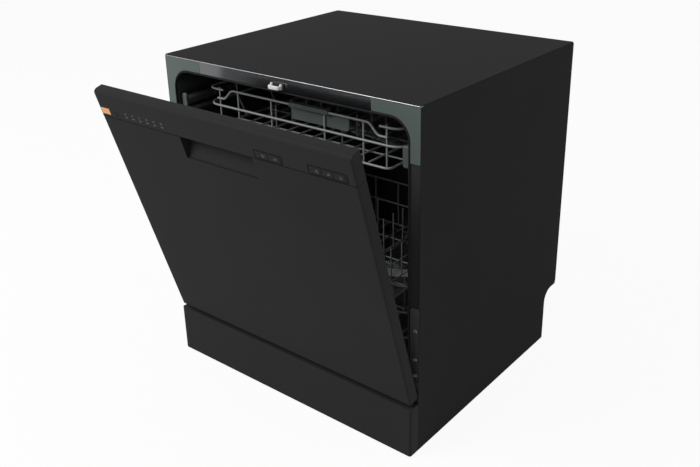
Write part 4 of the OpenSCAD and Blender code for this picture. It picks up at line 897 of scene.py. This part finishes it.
for s in (-1, 1):
    for y in wheel_y:
        axle = [(-4.4, 3.4), (-4, 4.6), (-3, 5), (-2.6, 3), (11.4, 3), (11.4, 4), (11.9, 4.2),
                (12.5, 3.2), (12.5, 0.4)]
        turned(lower, (s * wheel_x, y, wheel_z), (s, 0, 0), [(-4.4 * mm, 0.4 * mm)]
               + [(a * mm, b * mm) for a, b in axle], 20)
        hanger = rounded(-8 * mm, -6 * mm, 8 * mm, floor_z + 1 * mm - wheel_z, 5 * mm, 5)
        faces = [np.c_[np.full(len(hanger), s * (wheel_x + d * mm)), hanger[:, :1] * s + y,
                       hanger[:, 1:] + wheel_z] for d in (-4.5, -1.5)]
        lower.skin(np.array(faces))
fitted(lower.made("lower_rack_wires", 50), body_of("lower_rack"), "rack_wire", rack_wire, "lower_rack")

fold = Shape()
fold_low, fold_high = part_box("folding_tines")
rods(fold, [(0, fold_low[1], rod_z)], [(0, fold_high[1], rod_z)], rod_r)
fold_y = clip_y[0] + 16 * mm + span * 4 / 45 * np.arange(8)
rods(fold, [(0, y, rod_z) for y in fold_y], [(0, y, fold_high[2]) for y in fold_y], tine_r)
fitted(fold.made("folding_row", 60), body_of("folding_tines"), "rack_wire", rack_wire, "folding_tines")

tread = [(0.4, 3.1), (0.2, 5.4), (1.0, 6.2), (2.2, 6.4), (2.6, 9.4), (1.2, 10.2), (0.2, 11.6),
         (0.4, 12.6), (1.2, 13), (4.4, 13), (4.9, 12.2), (6.1, 12.2), (6.6, 13), (9.8, 13),
         (10.6, 12.6), (10.8, 11.6), (9.8, 10.2), (8.4, 9.4), (8.8, 6.4), (10, 6.2), (10.8, 5.4),
         (10.6, 3.1)]
drawn_tread_r = 13
tread = [(a * mm, b / drawn_tread_r * wheel_r) for a, b in tread]
for wheel, y in zip(("front_wheels", "rear_wheels"), wheel_y):
    shape = Shape()
    for s in (-1, 1):
        turned(shape, (s * wheel_x, y, wheel_z), (s, 0, 0), tread, 40, closed=True)
    fitted(shape.made(wheel + "_turned"), body_of(wheel), "grey_plastic", grey_plastic, wheel)
eased("cutlery_basket", 0.0004, "grey_plastic", grey_plastic)


# ---------------------------------------------------------------- door
# A folded steel shell in the cabinet's black with a moulded control fascia above it, a finger
# pocket across the seam, and a pressed stainless liner behind.

hinge = Vector(joints["door_hinge"]["pos_m"])
tilt = -math.radians(joints["door_hinge"]["range_deg"][0])
tilted = Matrix.Translation(hinge) @ Matrix.Rotation(tilt, 4, "X") @ Matrix.Translation(-hinge)
shut = np.array(tilted.inverted())
open_door = np.array(tilted)


def shut_box(node):
    """The lowest and highest corner of a door node with the door shut."""
    points = np.array([v.co for v in nodes[node].data.vertices])
    points = points @ shut[:3, :3].T + shut[:3, 3]
    return points.min(0), points.max(0)


def on_door(shape):
    """Tilts a shape made on the shut door to the door's place at rest."""
    shape.points = [p @ open_door[:3, :3].T + open_door[:3, 3] for p in shape.points]
    return shape


panel_low, panel_high = shut_box("door_panel")
front_y = panel_low[1]
pan_y = shut_box("door_liner")[1][1]


def at_pan_edge(place):
    """True on the rim of the liner's raised pan."""
    y = shut[1, 0] * place.x + shut[1, 1] * place.y + shut[1, 2] * place.z + shut[1, 3]
    return abs(y - pan_y) < 1e-4 and not 30 * mm < abs(place.x) < 80 * mm


black_door = painted("black_door", (0.0225, 0.0225, 0.0231), 0.55, gloss=0.018, grain=0.00003,
                     grain_size=0.0009, cloud=0.1)
eased("door_panel", 0.0006, "black_paint", black_door)
eased("control_fascia", 0.00015, "black_plastic", black_plastic)
eased("handle_pocket", 0.0005, "dark_plastic", dark_plastic)
eased("door_liner", 0.0003, "stainless", stainless, pressed=[(at_pan_edge, 3.2 * mm)])
eased("latch_housing", 0.0005, "pump_plastic", pump_plastic)
board = painted("board", (0.03, 0.12, 0.05), 0.4)
eased("control_board", 0.0002, "board", board)
lens_plastic = painted("lens_plastic", (0.055, 0.06, 0.058), 0.35, gloss=0.2)
eased("indicator_lights", 0.0003, "lens", lens_plastic)
orange = painted("orange", (0.68, 0.3, 0.1), 0.35)
eased("colour_tab", 0.0001, "orange_label", orange)
eased("dispenser_body", 0.0005, "grey_plastic", grey_plastic)
eased("dispenser_lid", 0.0005, "grey_plastic", grey_plastic)
blue_plastic = painted("blue_plastic", (0.05, 0.16, 0.4), 0.35)
eased("rinse_aid_cap", 0.0008, "blue_plastic", blue_plastic)
for button in ("power_button", "program_button", "extra_button", "delay_button",
               "child_lock_button", "start_button"):
    eased(button, 0.0003, "button_plastic", black_plastic)


# Thin printed marks over the lights and on the buttons, and near-black lines of painted shade in the
# grooves round the two button banks and along the seam between the shell and the fascia.


def ribbon(shape, line, width, y, closed=False):
    """A flat strip width wide on the door's front, 0.08 mm thick, along a line of x, z pairs."""
    line = np.asarray(line, float)
    path = np.stack([line[:, 0], np.full(len(line), y), line[:, 1]], -1)
    flat = np.array([[-0.5, 0], [0.5, 0], [0.5, 1], [-0.5, 1]]) * (width, 0.08 * mm)
    swept(shape, path, flat, (0, -1, 0), closed=closed)


fascia_low, fascia_high = shut_box("control_fascia")
light_low, light_high = shut_box("indicator_lights")
marks, groove_shade = Shape(), Shape()
mark_y, groove_y = -0.02 * mm, front_y + 0.03 * mm      # mark_y is measured from the skin below it
u = np.linspace(-1, 1, 9)
ring = circle(1, 16)
glyphs = [[(ring * 0.8, True), ([(0, 0.1), (0, 1.1)], False)],
          [(np.stack([u, 0.35 + 0.3 * np.sin(3 * u)], -1), False),
           (np.stack([u, -0.35 + 0.3 * np.sin(3 * u)], -1), False)],
          [(ring[:9] * (0.7, -0.7) - (0, 0.15), False), ([(-0.7, -0.15), (0, 1), (0.7, -0.15)], False)],
          [([(x, -0.9), (x, 0.9)], False) for x in (-0.8, 0, 0.8)],
          [([(-c, -d), (c, d)], False) for c, d in ring[:8:3]],
          [(ring * 0.9, True), ([(0, 0.6), (0, 0), (0.5, 0)], False)]]


def printed(places, size, y):
    """Draws one glyph at each place, its lines size tall at most."""
    for (x, z), glyph in zip(places, glyphs):
        for line, closed in glyph:
            ribbon(marks, np.asarray(line) * size + (x, z), 0.5 * mm, y, closed)


lamps = np.linspace(light_low[0] + 3 * mm, light_high[0] - 3 * mm, 6)
lamp_z = (light_low[2] + light_high[2]) / 2
printed([(x, lamp_z + 6.5 * mm) for x in lamps], 2.2 * mm, front_y + mark_y)
for bank in (("program_button", "extra_button"), ("delay_button", "child_lock_button", "start_button")):
    keys = [shut_box(button) for button in bank]
    printed([((a[0] + b[0]) / 2 + 2 * mm, (a[2] + b[2]) / 2) for a, b in keys], 2.7 * mm,
            keys[0][0][1] + mark_y)
    left, right = keys[0][0][0] - 3.7 * mm, keys[-1][1][0] + 3.7 * mm
    under, over = keys[0][0][2] - 0.2 * mm, keys[0][1][2] + 1.6 * mm
    # A near-black ring in the bank's groove: painted shade.
    ribbon(groove_shade, rounded(left, under, right, over, 2.2 * mm, 4), 1.1 * mm, groove_y, closed=True)
fitted(on_door(marks).made("printed_marks"), body_of("control_fascia"), "white_plastic",
       painted("mark_ink", (0.14, 0.145, 0.14), 0.6, gloss=0.2))
pocket_low, pocket_high = shut_box("handle_pocket")
seam_z = panel_high[2]
# Near-black lines along the seam between the shell and the fascia: painted shade.
for x0, x1 in ((fascia_low[0], pocket_low[0]), (pocket_high[0], fascia_high[0])):
    ribbon(groove_shade, [(x0 + 1 * mm, seam_z), (x1 - 1 * mm, seam_z)], 1.2 * mm, groove_y)
# The near-black finish of these lines is painted shade in the grooves and the seam.
fitted(on_door(groove_shade).made("groove_shade_lines"), body_of("control_fascia"), "rubber",
       painted("painted_groove_shade", (0.004, 0.004, 0.004), 0.8, gloss=0.02))
